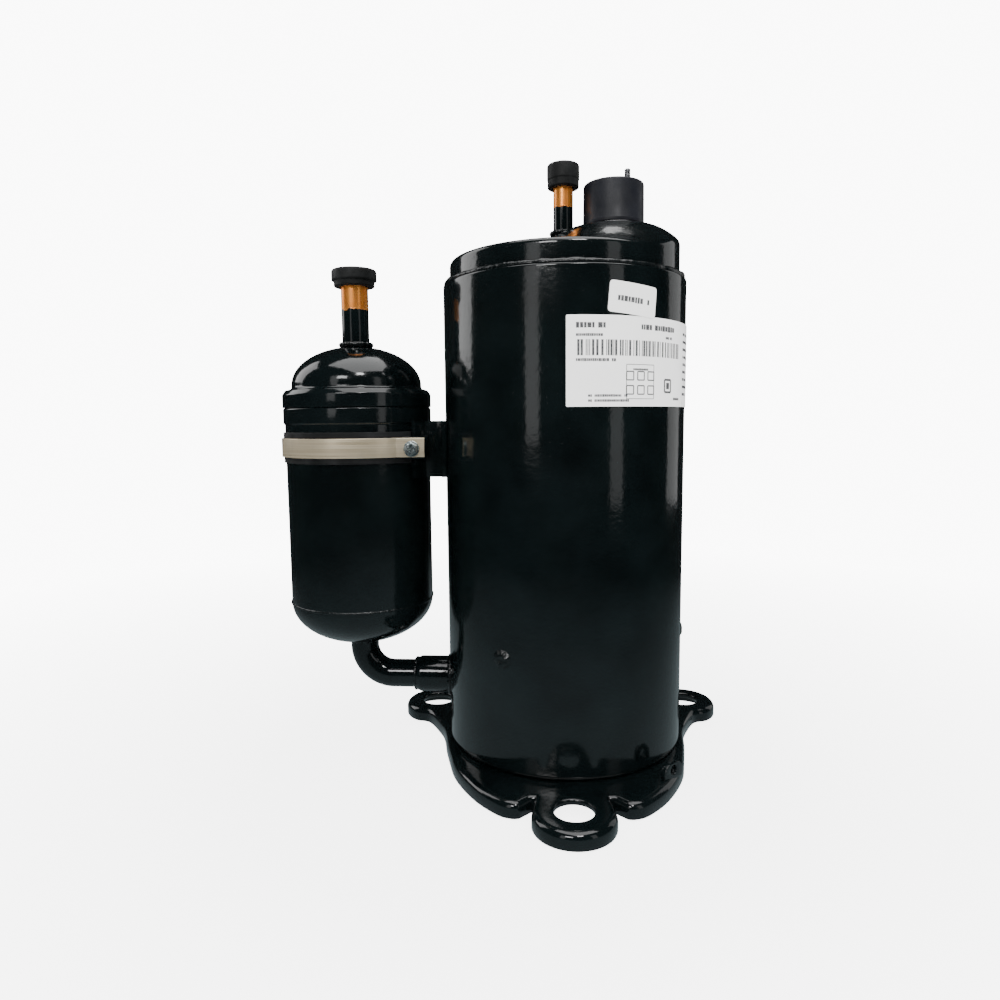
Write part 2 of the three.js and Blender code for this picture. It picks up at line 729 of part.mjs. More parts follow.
function strainer() {
  const rim = vesselBore - GAP;
  const base = COLLAR_BASE - 3;
  const mesh = 0.8;
  return revolve(
    [
      [0, base - 14],
      [10, base - 12],
      [rim - 6, base - mesh],
      [rim, base - mesh],
      [rim, base],
      [rim - 6.5, base],
      [9.5, base - 12 + mesh],
      [0, base - 14 + mesh],
    ],
    MEDIUM,
  );
}

function supportPlate() {
  const level = (ACCUMULATOR_SEAM + STANDPIPE_TOP) / 2;
  const plate = ring(SUCTION_RADIUS - SUCTION_WALL, vesselBore - GAP, level, level + 1.5, MEDIUM);
  const holes = [0, 60, 120, 180, 240, 300].map((azimuth) =>
    post(5, at(vesselBore * 0.6, azimuth), level - 1, level + 3, TINY),
  );
  return cut(plate, ...holes);
}

const bodyTop = COLLAR_TOP - 1 - GAP;
const bodyBase = ACCUMULATOR_SEAM + GAP;
const standpipeRadius = SUCTION_RADIUS - SUCTION_WALL - GAP;
const vessel = ring(vesselBore, ACCUMULATOR_RADIUS, bodyBase, bodyTop, FINE);
add("accumulator_top_cap", accumulatorTopCap(), blackPaint, accumulator);
add("accumulator_body", vessel, blackPaint, accumulator);
add("accumulator_bottom_cap", accumulatorBottomCap(), blackPaint, accumulator);
add("accumulator_inlet_tube", inletTube(), copper, accumulator);
add("accumulator_strainer", strainer(), steel, accumulator);
add("accumulator_support_plate", supportPlate(), steel, accumulator);
const standpipeBase = ACCUMULATOR_BASE + 5;
const standpipe = ring(standpipeRadius - 1, standpipeRadius, standpipeBase, STANDPIPE_TOP - 5, SMALL);
add("accumulator_standpipe", standpipe, steel, accumulator);
const suctionPlug = plug(SUCTION_PLUG_RADIUS, SUCTION_PLUG_HEIGHT, INLET_RADIUS, inletTop);
add("suction_plug", suctionPlug, rubber, accumulator);

// ---------------------------------------------------------------- suction pipe

const pumpFace = cylinderRadius - 12; // where the suction pipe ends in the pump's cylinder

function suctionPipe() {
  const bendTop = SUCTION_HEIGHT + SUCTION_BEND;
  const centre = new THREE.Vector3(accumulatorX + SUCTION_BEND, 0, bendTop);
  const arc = new THREE.CurvePath();
  const corner = (angle) =>
    new THREE.Vector3(-Math.cos(angle) * SUCTION_BEND, 0, -Math.sin(angle) * SUCTION_BEND).add(centre);
  const bendSteps = 7;
  const stops = Array.from({ length: bendSteps + 1 }, (_, i) => corner((Math.PI / 2) * (i / bendSteps)));
  const route = [new THREE.Vector3(accumulatorX, 0, ACCUMULATOR_BASE + 6), ...stops];
  route.push(new THREE.Vector3(-pumpFace, 0, SUCTION_HEIGHT));
  for (let i = 0; i + 1 < route.length; i++) arc.add(new THREE.LineCurve3(route[i], route[i + 1]));
  return tube(arc, SUCTION_RADIUS, SUCTION_WALL, 16, 6);
}

function suctionCollar() {
  const start = cylinderRadius + GAP;
  const end = SHELL_RADIUS + SUCTION_COLLAR_REACH;
  const sleeve = ring(SUCTION_RADIUS + GAP, suctionCollarRadius, start, end, MEDIUM);
  return sleeve.rotateY(-Math.PI / 2).translate(0, 0, SUCTION_HEIGHT);
}

add("suction_pipe", suctionPipe(), blackPaint);
add("suction_collar", suctionCollar(), blackPaint);

// ---------------------------------------------------------------- band and bracket

const bandOuter = bandBore + BAND_THICKNESS;
const bandLeave = at(bandOuter, BAND_END_AZIMUTH); // where the band leaves the round
const bandBase = BAND_HEIGHT - BAND_WIDTH / 2;
const bandTop = BAND_HEIGHT + BAND_WIDTH / 2;
const earX = earReach - EAR_LENGTH;
const earStart = bandLeave.x - BAND_THICKNESS / 2;
const screwX = earReach - 0.6 * EAR_LENGTH;
const screwHeight = BAND_HEIGHT - 0.6;
const earFace = bandLeave.y + BAND_THICKNESS + GAP; // front face of the bracket's ear

function bandHole(radius) {
  const drill = disc(radius, -4 * BRACKET_WALL, 4 * BRACKET_WALL, TINY).rotateX(Math.PI / 2);
  return drill.translate(screwX, bandLeave.y, screwHeight);
}

function accumulatorBand() {
  const wrapStart = -180 - BAND_END_AZIMUTH;
  const wrap = sector(bandBore, bandOuter, wrapStart, BAND_END_AZIMUTH, bandBase, bandTop);
  const frontEar = block(earStart, earReach, bandLeave.y, bandLeave.y + BAND_THICKNESS, bandBase, bandTop);
  const rearY = -bandLeave.y;
  const hookX = earReach + GAP;
  const rearEar = block(earStart, hookX + BAND_THICKNESS, rearY - BAND_THICKNESS, rearY, bandBase, bandTop);
  const hook = block(hookX, hookX + BAND_THICKNESS, rearY - 3 * BRACKET_WALL, rearY, bandBase, bandTop);
  return cut(join(wrap, frontEar, rearEar, hook), bandHole(SCREW_RADIUS + GAP));
}

function accumulatorBracket() {
  const seat = bandBore;
  const saddle = sector(seat, seat + BRACKET_WALL, 56, 124, BRACKET_BASE, BRACKET_TOP);
  const shellSeat = SHELL_RADIUS + GAP;
  const footSweep = 17;
  const footArc = [-90 - footSweep, -90 + footSweep];
  const foot = sector(shellSeat, shellSeat + BRACKET_WALL, ...footArc, BRACKET_BASE, BRACKET_TOP);
  foot.translate(accumulatorOffset, 0, 0);
  const near = Math.sqrt((seat + 1) ** 2 - BRACKET_HALF_WIDTH ** 2);
  const far = accumulatorOffset - Math.sqrt((shellSeat + 1) ** 2 - BRACKET_HALF_WIDTH ** 2);
  const earTop = BAND_HEIGHT + BAND_WIDTH / 2 + 0.6;
  const earBase = BAND_HEIGHT - BAND_WIDTH / 2 - 0.6;
  const webX = earReach - BRACKET_WALL;
  const side = (sign) => {
    const outside = sign * BRACKET_HALF_WIDTH;
    const inside = sign * (BRACKET_HALF_WIDTH - BRACKET_WALL);
    const ys = (a, b) => [Math.min(a, b), Math.max(a, b)];
    const ear = sign * -earFace;
    const wall = block(near, far, ...ys(outside, inside), BRACKET_BASE, BRACKET_TOP);
    const web = block(webX, earReach, ...ys(ear, inside), earBase, earTop);
    const plate = block(earX, earReach, ...ys(ear, ear - sign * BRACKET_WALL), earBase, earTop);
    return join(wall, web, plate);
  };
  const whole = join(saddle, foot, side(-1), side(1));
  const room = disc(seat, BRACKET_BASE - 1, BRACKET_TOP + 1, FINE);
  return cut(whole, room, bandHole(SCREW_RADIUS + GAP));
}

function bandScrew() {
  const headFace = -bandLeave.y + GAP;
  const tip = headFace - GAP - BAND_THICKNESS - GAP - BRACKET_WALL - 1;
  const screw = revolve(
    [
      [0, tip],
      [SCREW_RADIUS, tip],
      [SCREW_RADIUS, headFace],
      [SCREW_HEAD_RADIUS, headFace],
      [SCREW_HEAD_RADIUS, headFace + 2.2],
      [SCREW_HEAD_RADIUS - 1, headFace + 3],
      [0, headFace + 3],
    ],
    SMALL,
  );
  return screw.rotateX(Math.PI / 2).translate(screwX, 0, screwHeight);
}

const linerBase = BAND_HEIGHT - LINER_WIDTH / 2;
const linerBore = ACCUMULATOR_RADIUS + GAP;
add("accumulator_bracket", accumulatorBracket(), blackPaint, accumulator);
const liner = ring(linerBore, linerRadius, linerBase, linerBase + LINER_WIDTH, FINE);
add("band_liner", liner, rubber, accumulator);
add("accumulator_band", accumulatorBand(), bandSteel, accumulator);
add("band_screw", bandScrew(), zinc, accumulator);

// ---------------------------------------------------------------- labels

const nameplateWidth = radians(NAMEPLATE_SWEEP) * (SHELL_RADIUS + GAP);
const nameplateRadius = SHELL_RADIUS + GAP;
const capacityRadius = nameplateRadius + LABEL_THICKNESS + GAP;
const nameplateSpot = [nameplateRadius, NAMEPLATE_SWEEP / 2, nameplateMiddle, 0];
const capacitySpot = [capacityRadius, CAPACITY_AZIMUTH, capacityMiddle, CAPACITY_TILT];
add("nameplate_label", sticker(nameplateWidth, NAMEPLATE_HEIGHT, ...nameplateSpot), labelWhite);
add("capacity_label", sticker(CAPACITY_WIDTH, CAPACITY_HEIGHT, ...capacitySpot), labelWhite);

// ---------------------------------------------------------------- pump

const boltSpots = BOLT_AZIMUTHS.map((azimuth) => at(BOLT_CIRCLE, azimuth));
const mufflerFoot = flangeTop + GAP;
const portSpot = at(VALVE_PORT_CIRCLE, VALVE_AZIMUTH);

function boltHoles(base, top) {
  return boltSpots.map((spot) => post(BOLT_RADIUS + GAP, spot, base, top, TINY));
}

// Turns a geometry drawn toward the front to an azimuth.
function turnedTo(geometry, azimuth) {
  return geometry.rotateZ(radians(azimuth));
}

function pumpCylinder() {
  const body = ring(CYLINDER_BORE, cylinderRadius, cylinderBase, cylinderTop, FINE);
  const slot = VANE_THICKNESS / 2 + GAP;
  const outside = cylinderRadius + 1;
  const slotBox = block(-slot, slot, -vaneBack - 1, -CYLINDER_BORE + 1, cylinderBase - 1, cylinderTop + 1);
  const springHole = disc(SPRING_RADIUS + 3 * GAP, vaneBack, outside, SMALL).rotateX(Math.PI / 2);
  const port = disc(SUCTION_RADIUS + GAP, CYLINDER_BORE - 1, outside, SMALL).rotateY(-Math.PI / 2);
  return cut(
    body,
    turnedTo(slotBox, VANE_AZIMUTH),
    turnedTo(springHole.translate(0, 0, SUCTION_HEIGHT), VANE_AZIMUTH),
    port.translate(0, 0, SUCTION_HEIGHT),
    ...boltHoles(cylinderBase - 1, cylinderTop + 1),
  );
}

function upperBearing() {
  const bore = SHAFT_RADIUS + RUNNING_GAP;
  const rimBore = cylinderRadius - 4;
  const body = revolve(
    [
      [bore, flangeBase],
      [cylinderRadius, flangeBase],
      [cylinderRadius, flangeTop + MAIN_RIM],
      [rimBore, flangeTop + MAIN_RIM],
      [rimBore, flangeTop],
      [MAIN_HUB_RADIUS, flangeTop],
      [MAIN_HUB_RADIUS - 3, flangeTop + MAIN_HUB_HEIGHT],
      [bore, flangeTop + MAIN_HUB_HEIGHT],
    ],
    FINE,
  );
  const port = post(VALVE_PORT_RADIUS, portSpot, flangeBase - 1, flangeTop + 1, TINY);
  const rivetHole = post(RIVET_RADIUS + GAP, rivetSpot, flangeBase - 1, flangeTop + 1, TINY);
  return cut(body, port, rivetHole, ...boltHoles(flangeBase - 1, flangeTop + 1));
}

function lowerBearing() {
  const bore = SHAFT_RADIUS + RUNNING_GAP;
  const body = revolve(
    [
      [bore, lowerBase - LOWER_HUB_HEIGHT],
      [LOWER_HUB_RADIUS, lowerBase - LOWER_HUB_HEIGHT],
      [LOWER_HUB_RADIUS, lowerBase],
      [LOWER_FLANGE_RADIUS, lowerBase],
      [LOWER_FLANGE_RADIUS, lowerTop],
      [bore, lowerTop],
    ],
    FINE,
  );
  return cut(body, ...boltHoles(lowerBase - 1, lowerTop + 1));
}

function muffler() {
  const hole = MAIN_HUB_RADIUS + GAP;
  const roof = mufflerFoot + MUFFLER_HEIGHT;
  const brim = BOLT_CIRCLE + BOLT_HEAD_RADIUS + 1;
  const body = revolve(
    [
      [hole, roof],
      [MUFFLER_RADIUS - 2, roof],
      [MUFFLER_RADIUS, roof - 2],
      [MUFFLER_RADIUS, mufflerFoot + MUFFLER_WALL],
      [brim, mufflerFoot + MUFFLER_WALL],
      [brim, mufflerFoot],
      [MUFFLER_RADIUS - MUFFLER_WALL, mufflerFoot],
      [MUFFLER_RADIUS - MUFFLER_WALL, roof - 2 - MUFFLER_WALL / 2],
      [MUFFLER_RADIUS - 2 - MUFFLER_WALL / 2, roof - MUFFLER_WALL],
      [hole, roof - MUFFLER_WALL],
    ],
    FINE,
  );
  const vents = [60, -60].map((azimuth) => post(4, at(27, azimuth), roof - 3, roof + 1, TINY));
  return cut(body, ...vents, ...boltHoles(mufflerFoot - 1, mufflerFoot + 3));
}

function pumpBolt(spot) {
  const headBase = mufflerFoot + MUFFLER_WALL + GAP;
  const shank = disc(BOLT_RADIUS, lowerBase + 1, headBase + 1, TINY);
  const head = disc(BOLT_HEAD_RADIUS, headBase, headBase + 4, 6);
  return join(shank, head).translate(spot.x, spot.y, 0);
}

function crankshaft() {
  const foot = DISH_CLEARANCE + CAP_WALL + SHAFT_CLEARANCE;
  const throwSpot = at(ECCENTRICITY, crankAzimuth);
  const cheek = 2;
  const shaft = disc(SHAFT_RADIUS, foot, shaftTop, MEDIUM);
  const eccentric = post(ECCENTRIC_RADIUS, throwSpot, cylinderBase + cheek, cylinderTop - cheek, FINE);
  const oilBore = disc(OIL_BORE, foot - 1, flangeTop + MAIN_HUB_HEIGHT / 2, SMALL);
  const oilHole = disc(1.5, 0, ECCENTRIC_RADIUS + ECCENTRICITY + 1, TINY).rotateX(Math.PI / 2);
  oilHole.translate(0, 0, SUCTION_HEIGHT);
  return cut(join(shaft, eccentric), oilBore, turnedTo(oilHole, crankAzimuth));
}

function oilPaddle() {
  const length = 34;
  const base = DISH_CLEARANCE + CAP_WALL + SHAFT_CLEARANCE + 1;
  const strip = new THREE.BoxGeometry(2 * (OIL_BORE - 0.6), 1, length, 2, 1, 12);
  const position = strip.getAttribute("position");
  for (let i = 0; i < position.count; i++) {
    const turn = Math.PI * (position.getZ(i) / length);
    const spot = new THREE.Vector3(position.getX(i), position.getY(i), position.getZ(i));
    spot.applyAxisAngle(new THREE.Vector3(0, 0, 1), turn);
    position.setXYZ(i, spot.x, spot.y, spot.z);
  }
  return strip.translate(0, 0, base + length / 2);
}

function rollingPiston() {
  const bore = ECCENTRIC_RADIUS + RUNNING_GAP;
  const wall = ring(bore, ROLLER_RADIUS, cylinderBase + GAP, cylinderTop - GAP, FINE);
  const spot = at(ECCENTRICITY, crankAzimuth);
  return wall.translate(spot.x, spot.y, 0);
}

function vane() {
  const half = VANE_THICKNESS / 2;
  const nose = new THREE.Shape();
  nose.moveTo(-half, -vaneRest - half * 0.7);
  nose.quadraticCurveTo(0, -vaneRest + half * 0.7, half, -vaneRest - half * 0.7);
  nose.lineTo(half, -vaneBack);
  nose.lineTo(-half, -vaneBack);
  nose.closePath();
  return turnedTo(prism(nose, cylinderBase + GAP, cylinderTop - GAP, 4), VANE_AZIMUTH);
}

function vaneSpring() {
  const start = vaneBack + GAP + SPRING_WIRE;
  const length = cylinderRadius - start - SPRING_WIRE;
  class Helix extends THREE.Curve {
    getPoint(t, target = new THREE.Vector3()) {
      const turn = Math.PI / 2 + 2 * Math.PI * SPRING_TURNS * t; // from over the vane's middle
      const across = SPRING_RADIUS * Math.cos(turn);
      const up = SPRING_RADIUS * Math.sin(turn);
      return target.set(across, -start - length * t, SUCTION_HEIGHT + up);
    }
  }
  return turnedTo(tube(new Helix(), SPRING_WIRE, 0, 8 * SPRING_TURNS, 2), VANE_AZIMUTH);
}

// The valve lies along a chord of the flange: the port is under its free end, the rivet at the other.
const rivetSpot = portSpot.clone().add(at(VALVE_REACH, VALVE_AZIMUTH - 90));
const tailLength = 3.2;

function valveStrip(profile) {
  const shape = new THREE.Shape(profile.map(([along, up]) => new THREE.Vector2(along, up)));
  const strip = new THREE.ExtrudeGeometry(shape, { depth: VALVE_WIDTH, bevelEnabled: false });
  strip.translate(0, 0, -VALVE_WIDTH / 2).rotateX(Math.PI / 2);
  strip.translate(0, -VALVE_PORT_CIRCLE, 0);
  return turnedTo(strip, VALVE_AZIMUTH);
}

function dischargeValve() {
  const base = flangeTop + GAP;
  const top = base + VALVE_THICKNESS;
  const reed = valveStrip([
    [-VALVE_REACH - tailLength, base],
    [VALVE_PORT_RADIUS + 1, base],
    [VALVE_PORT_RADIUS + 1, top],
    [-VALVE_REACH - tailLength, top],
  ]);
  return cut(reed, post(RIVET_RADIUS + GAP, rivetSpot, base - 1, top + 1, TINY));
}

function valveStop() {
  const base = flangeTop + 2 * GAP + VALVE_THICKNESS;
  const flatEnd = -VALVE_REACH + tailLength;
  const stop = valveStrip([
    [-VALVE_REACH - tailLength, base],
    [flatEnd, base],
    [VALVE_PORT_RADIUS, base + STOP_LIFT],
    [VALVE_PORT_RADIUS, base + STOP_LIFT + STOP_THICKNESS],
    [flatEnd, base + STOP_THICKNESS],
    [-VALVE_REACH - tailLength, base + STOP_THICKNESS],
  ]);
  return cut(stop, post(RIVET_RADIUS + GAP, rivetSpot, base - 1, base + STOP_THICKNESS + 1, TINY));
}

function valveRivet() {
  const headBase = flangeTop + 3 * GAP + VALVE_THICKNESS + STOP_THICKNESS;
  const shank = disc(RIVET_RADIUS, flangeBase + 1, headBase + 1, TINY);
  const head = disc(RIVET_RADIUS + 1.2, headBase, headBase + 1.5, TINY);
  return join(shank, head).translate(rivetSpot.x, rivetSpot.y, 0);
}

add("pump_cylinder", pumpCylinder(), castIron);
add("upper_bearing", upperBearing(), castIron);
add("lower_bearing", lowerBearing(), castIron);
add("discharge_muffler", muffler(), steel);
boltSpots.forEach((spot, i) => add("pump_bolt_" + (i + 1), pumpBolt(spot), steel));
add("crankshaft", crankshaft(), steel);
add("oil_paddle", oilPaddle(), steel);
add("rolling_piston", rollingPiston(), steel);
add("vane", vane(), steel);
add("vane_spring", vaneSpring(), steel);
add("discharge_valve", dischargeValve(), steel);
add("valve_stop", valveStop(), steel);
add("valve_rivet", valveRivet(), steel);

// ---------------------------------------------------------------- motor

const slotMouth = 1.1;

// Half-widths of a slot at radii from the bore outward.
const slotProfile = [
  [STATOR_BORE, slotMouth],
  [STATOR_BORE + 1.2, slotMouth],
  [STATOR_BORE + 2, 1.9],
  [slotRoot, 3.3],
];

function stator() {
  const slotPoint = (azimuth, radius, half) => {
    const spot = at(radius, azimuth).add(at(half, azimuth + 90));
    return new THREE.Vector2(spot.x, spot.y);
  };
  const shape = new THREE.Shape();
  shape.absarc(0, 0, capRadius, -Math.PI / 2, 1.5 * Math.PI, false);
  const bore = [];
  for (let i = 0; i < SLOT_COUNT; i++) {
    const azimuth = (360 / SLOT_COUNT) * i;
    slotProfile.forEach(([radius, half]) => bore.push(slotPoint(azimuth, radius, -half)));
    [...slotProfile].reverse().forEach(([radius, half]) => bore.push(slotPoint(azimuth, radius, half)));
  }
  shape.holes.push(new THREE.Path(bore));
  const stack = prism(shape, STATOR_BASE, stackTop, FINE / 2);
  const flats = [30, 90, 150, 210, 270, 330].map((azimuth) => {
    const flat = block(-6, 6, -capRadius - 2, -capRadius + 1.6, STATOR_BASE - 1, stackTop + 1);
    return turnedTo(flat, azimuth);
  });
  return cut(stack, ...flats);
}

function winding() {
  const inner = STATOR_BORE + 2.4;
  const outer = slotRoot + 4;
  const ease = 3;
  const endTurn = (near, far) => {
    const shoulder = (near + far) / 2;
    const nearFace = [[inner, near], [outer, near]];
    const farFace = [[outer - ease, far], [inner + ease, far]];
    return revolve([...nearFace, [outer, shoulder], ...farFace, [inner, shoulder]], FINE);
  };
  const bars = Array.from({ length: SLOT_COUNT }, (_, i) => {
    const shape = new THREE.Shape([
      new THREE.Vector2(-1.4, -inner - 0.6),
      new THREE.Vector2(-2.7, -slotRoot + 0.6),
      new THREE.Vector2(2.7, -slotRoot + 0.6),
      new THREE.Vector2(1.4, -inner - 0.6),
    ]);
    return turnedTo(prism(shape, STATOR_BASE - 1, stackTop + 1), (360 / SLOT_COUNT) * i);
  });
  const lower = endTurn(STATOR_BASE - GAP, STATOR_BASE - END_TURN);
  const upper = endTurn(stackTop + GAP, stackTop + END_TURN);
  return join(lower, upper, ...bars);
}

const rotorBore = SHAFT_RADIUS + GAP;
const endRingBore = rotorRadius - 9;

function rotorBars(radius) {
  return Array.from({ length: BAR_COUNT }, (_, i) => {
    const spot = at(rotorRadius - 3.8, (360 / BAR_COUNT) * i);
    return post(radius, spot, STATOR_BASE - 1, stackTop + 1, 6);
  });
}

function rotorCore() {
  const stack = ring(rotorBore, rotorRadius, STATOR_BASE, stackTop, FINE);
  return cut(stack, ...rotorBars(BAR_RADIUS + GAP));
}

function rotorCage() {
  const lowerTop = STATOR_BASE - GAP;
  const upperBase = stackTop + GAP;
  const lower = ring(endRingBore, rotorRadius - 1, lowerTop - END_RING, lowerTop, FINE);
  const upper = ring(endRingBore, rotorRadius - 1, upperBase, upperBase + END_RING, FINE);
  return join(lower, upper, ...rotorBars(BAR_RADIUS));
}

const weightSweep = 75;
const lowerWeightTop = STATOR_BASE - 2 * GAP - END_RING;
const upperWeightBase = stackTop + 2 * GAP + END_RING;
const weightRadius = rotorRadius - 2;

function weight(azimuth, base) {
  const [from, to] = [azimuth - weightSweep, azimuth + weightSweep];
  return sector(endRingBore, weightRadius, from, to, base, base + WEIGHT_HEIGHT);
}

add("stator_core", stator(), lamination);
add("stator_winding", winding(), magnetWire);
add("rotor_core", rotorCore(), lamination);
add("rotor_cage", rotorCage(), aluminium);
add("lower_balance_weight", weight(crankAzimuth + 180, lowerWeightTop - WEIGHT_HEIGHT), steel);
add("upper_balance_weight", weight(crankAzimuth, upperWeightBase), steel);

// ---------------------------------------------------------------- frame

// The origin goes to the middle of the assembly's plan, at the level of the feet.
assembly.updateMatrixWorld(true);
const extent = new THREE.Box3().setFromObject(assembly, true);
const middle = extent.getCenter(new THREE.Vector3());
assembly.position.set(-middle.x, -middle.y, -extent.min.z);

export default assembly;
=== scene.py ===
"""Looks for the hermetic rotary compressor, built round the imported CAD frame. Metres, +Z up."""

import json
import math
import random

import bmesh
import bpy
from mathutils import Matrix, Vector, noise

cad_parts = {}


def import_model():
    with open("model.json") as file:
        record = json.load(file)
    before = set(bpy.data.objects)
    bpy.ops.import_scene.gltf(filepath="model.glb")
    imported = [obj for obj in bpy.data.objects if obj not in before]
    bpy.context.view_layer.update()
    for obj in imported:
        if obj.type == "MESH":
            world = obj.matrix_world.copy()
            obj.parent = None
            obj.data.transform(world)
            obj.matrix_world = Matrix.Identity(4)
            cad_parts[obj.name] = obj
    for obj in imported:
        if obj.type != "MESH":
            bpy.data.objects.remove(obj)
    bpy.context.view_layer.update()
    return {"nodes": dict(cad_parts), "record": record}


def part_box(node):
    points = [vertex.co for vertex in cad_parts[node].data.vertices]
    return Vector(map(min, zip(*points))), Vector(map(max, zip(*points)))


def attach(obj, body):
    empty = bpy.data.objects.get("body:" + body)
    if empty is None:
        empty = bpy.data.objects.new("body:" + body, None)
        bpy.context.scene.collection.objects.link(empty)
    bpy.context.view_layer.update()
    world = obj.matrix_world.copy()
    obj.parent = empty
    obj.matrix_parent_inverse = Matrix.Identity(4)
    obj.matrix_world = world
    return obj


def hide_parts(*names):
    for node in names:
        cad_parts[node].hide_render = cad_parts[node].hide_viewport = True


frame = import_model()

MM = 0.001
TURN = 2 * math.pi
GAP = 0.3 * MM  # clearance between pieces that fit
SHEET = 3 * MM  # wall of the casing and of its caps


# ---------------------------------------------------------------- places and sizes from the frame


def bottom(node):
    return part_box(node)[0].z


def top(node):
    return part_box(node)[1].z


def middle(node):
    low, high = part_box(node)
    return (low + high) / 2


def radius(node):
    low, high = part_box(node)
    return (high.x - low.x) / 2


DOME_RISE = 15.6 * MM  # from the casing's rim to the middle of the low dome
DOME_FALL = 4.6 * MM

SHELL = middle("main_shell").xy.to_3d()
TANK = middle("accumulator_body").xy.to_3d()
TERMINAL = middle("terminal_body").xy.to_3d()
SHELL_R = radius("main_shell")
SHELL_TOP = top("main_shell")
CAP_R = radius("top_cap")
TANK_R = radius("accumulator_body")
PIPE_R = (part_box("suction_pipe")[1].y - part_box("suction_pipe")[0].y) / 2
PORT_Z = middle("suction_collar").z


def polar(reach, azimuth, z=0.0):
    """A point by its azimuth in degrees, 0 at the front (-Y) and 90 at the right (+X)."""
    angle = math.radians(azimuth)
    return Vector((reach * math.sin(angle), -reach * math.cos(angle), z))


# ---------------------------------------------------------------- mesh helpers


def rounded(corners, closed=False, steps=5):
    """The points of an outline whose corners (x, y, radius) are eased."""
    points = []
    for i, (x, y, ease) in enumerate(corners):
        here = Vector((x, y))
        if ease == 0 or (not closed and i in (0, len(corners) - 1)):
            points.append(here)
            continue
        back = Vector(corners[i - 1][:2]) - here
        ahead = Vector(corners[(i + 1) % len(corners)][:2]) - here
        reach = min(ease / math.tan(back.angle(ahead) / 2), 0.49 * back.length, 0.49 * ahead.length)
        start = here + back.normalized() * reach
        end = here + ahead.normalized() * reach
        for k in range(steps + 1):
            t = k / steps
            points.append((1 - t) ** 2 * start + 2 * t * (1 - t) * here + t * t * end)
    return points


def bridge(bm, first, second):
    """Faces between two rings of the same count, either of which may be a single pole."""
    count = max(len(first), len(second))
    for i in range(count):
        j = (i + 1) % count
        a, b = (first[0], None) if len(first) == 1 else (first[i], first[j])
        d, c = (second[0], None) if len(second) == 1 else (second[i], second[j])
        bm.faces.new([v for v in (a, b, c, d) if v is not None])


def skin(bm, rings, closed=False):
    """Faces from each ring to the next, and from the last to the first if closed."""
    for first, second in zip(rings, rings[1:]):
        bridge(bm, first, second)
    if closed:
        bridge(bm, rings[-1], rings[0])


def level_ring(bm, size, z, count, centre=Vector()):
    """A ring of vertices about a vertical axis."""
    return [bm.verts.new(centre + polar(size, 360 * k / count, z)) for k in range(count)]


def turned(corners, segments=128, steps=5, warp=None):
    """A mesh turned about Z from (radius, z, ease) corners, from axis to axis or closed on itself."""
    hollow = corners[0][0] > 0
    bm = bmesh.new()
    rings = []
    for point in rounded(corners, hollow, steps):
        if point.x < 1e-7:
            rings.append([bm.verts.new((0, 0, point.y))])
        else:
            rings.append(level_ring(bm, point.x, point.y, segments))
    skin(bm, rings, hollow)
    if warp:
        for vertex in bm.verts:
            vertex.co = warp(vertex.co.copy())
    return bm


def post(size, low, high, segments=40, steps=5, low_ease=0, high_ease=0):
    """A solid bar along Z."""
    corners = [(0, low, 0), (size, low, low_ease), (size, high, high_ease), (0, high, 0)]
    return turned(corners, segments, steps)


def sleeve(bore, size, low, high, inner_ease, outer_ease, segments):
    """A ring or a short tube along Z."""
    corners = [(bore, low, inner_ease), (size, low, outer_ease)]
    corners += [(size, high, outer_ease), (bore, high, inner_ease)]
    return turned(corners, segments)


def arc(inner, outer, wall_z, top_z, steps=14):
    """Corners of a quarter ellipse, from a radius near the axis out to the wall."""
    first = math.asin(inner / outer)
    angles = [first + (math.pi / 2 - first) * k / steps for k in range(steps + 1)]
    return [(outer * math.sin(a), wall_z + (top_z - wall_z) * math.cos(a), 0) for a in angles]


def swept(path, section, side):
    """A section of (across, along side) points swept on a flat path whose plane's normal is side."""
    bm = bmesh.new()
    rings = []
    for i, point in enumerate(path):
        before = path[max(i - 1, 0)]
        after = path[min(i + 1, len(path) - 1)]
        across = side.cross(after - before).normalized()
        rings.append([bm.verts.new(point + across * u + side * v) for u, v in section])
    skin(bm, rings)
    bm.faces.new(rings[0][::-1])
    bm.faces.new(rings[-1])
    return bm


def circle(size, count=40):
    return [(size * math.cos(TURN * k / count), size * math.sin(TURN * k / count)) for k in range(count)]


def oblong(wide, low, high, ease, steps):
    """A rectangle with eased corners, centred across."""
    half = wide / 2
    corners = [(-half, low, ease), (half, low, ease), (half, high, ease), (-half, high, ease)]
    return rounded(corners, True, steps)


def weld_ring(reach, level, size, seed, segments=120):
    """A bead of weld round Z: short overlapping ripples on an uneven rope."""
    bm = bmesh.new()
    rings = []
    for k in range(segments):
        azimuth = 360 * k / segments
        slow = noise.noise(polar(6, azimuth, seed))
        quick = noise.noise(polar(30, azimuth, seed))
        ripple = abs(math.sin(math.radians(azimuth) * reach / (1.6 * size)))
        thick = size * (0.86 + 0.22 * slow + 0.1 * quick + 0.1 * ripple)
        centre = reach + 0.25 * size * slow
        ring = [(centre + thick * x, level + thick * z) for x, z in circle(1, 14)]
        rings.append([bm.verts.new(polar(x, azimuth, z)) for x, z in ring])
    skin(bm, rings, True)
    return bm


def mesh_of(name, bm):
    """Mesh data with its faces turned outward."""
    bmesh.ops.recalc_face_normals(bm, faces=bm.faces)
    mesh = bpy.data.meshes.new(name)
    bm.to_mesh(mesh)
    bm.free()
    return mesh


def placed(name, data):
    """A new object in the scene."""
    obj = bpy.data.objects.new(name, data)
    bpy.context.scene.collection.objects.link(obj)
    return obj


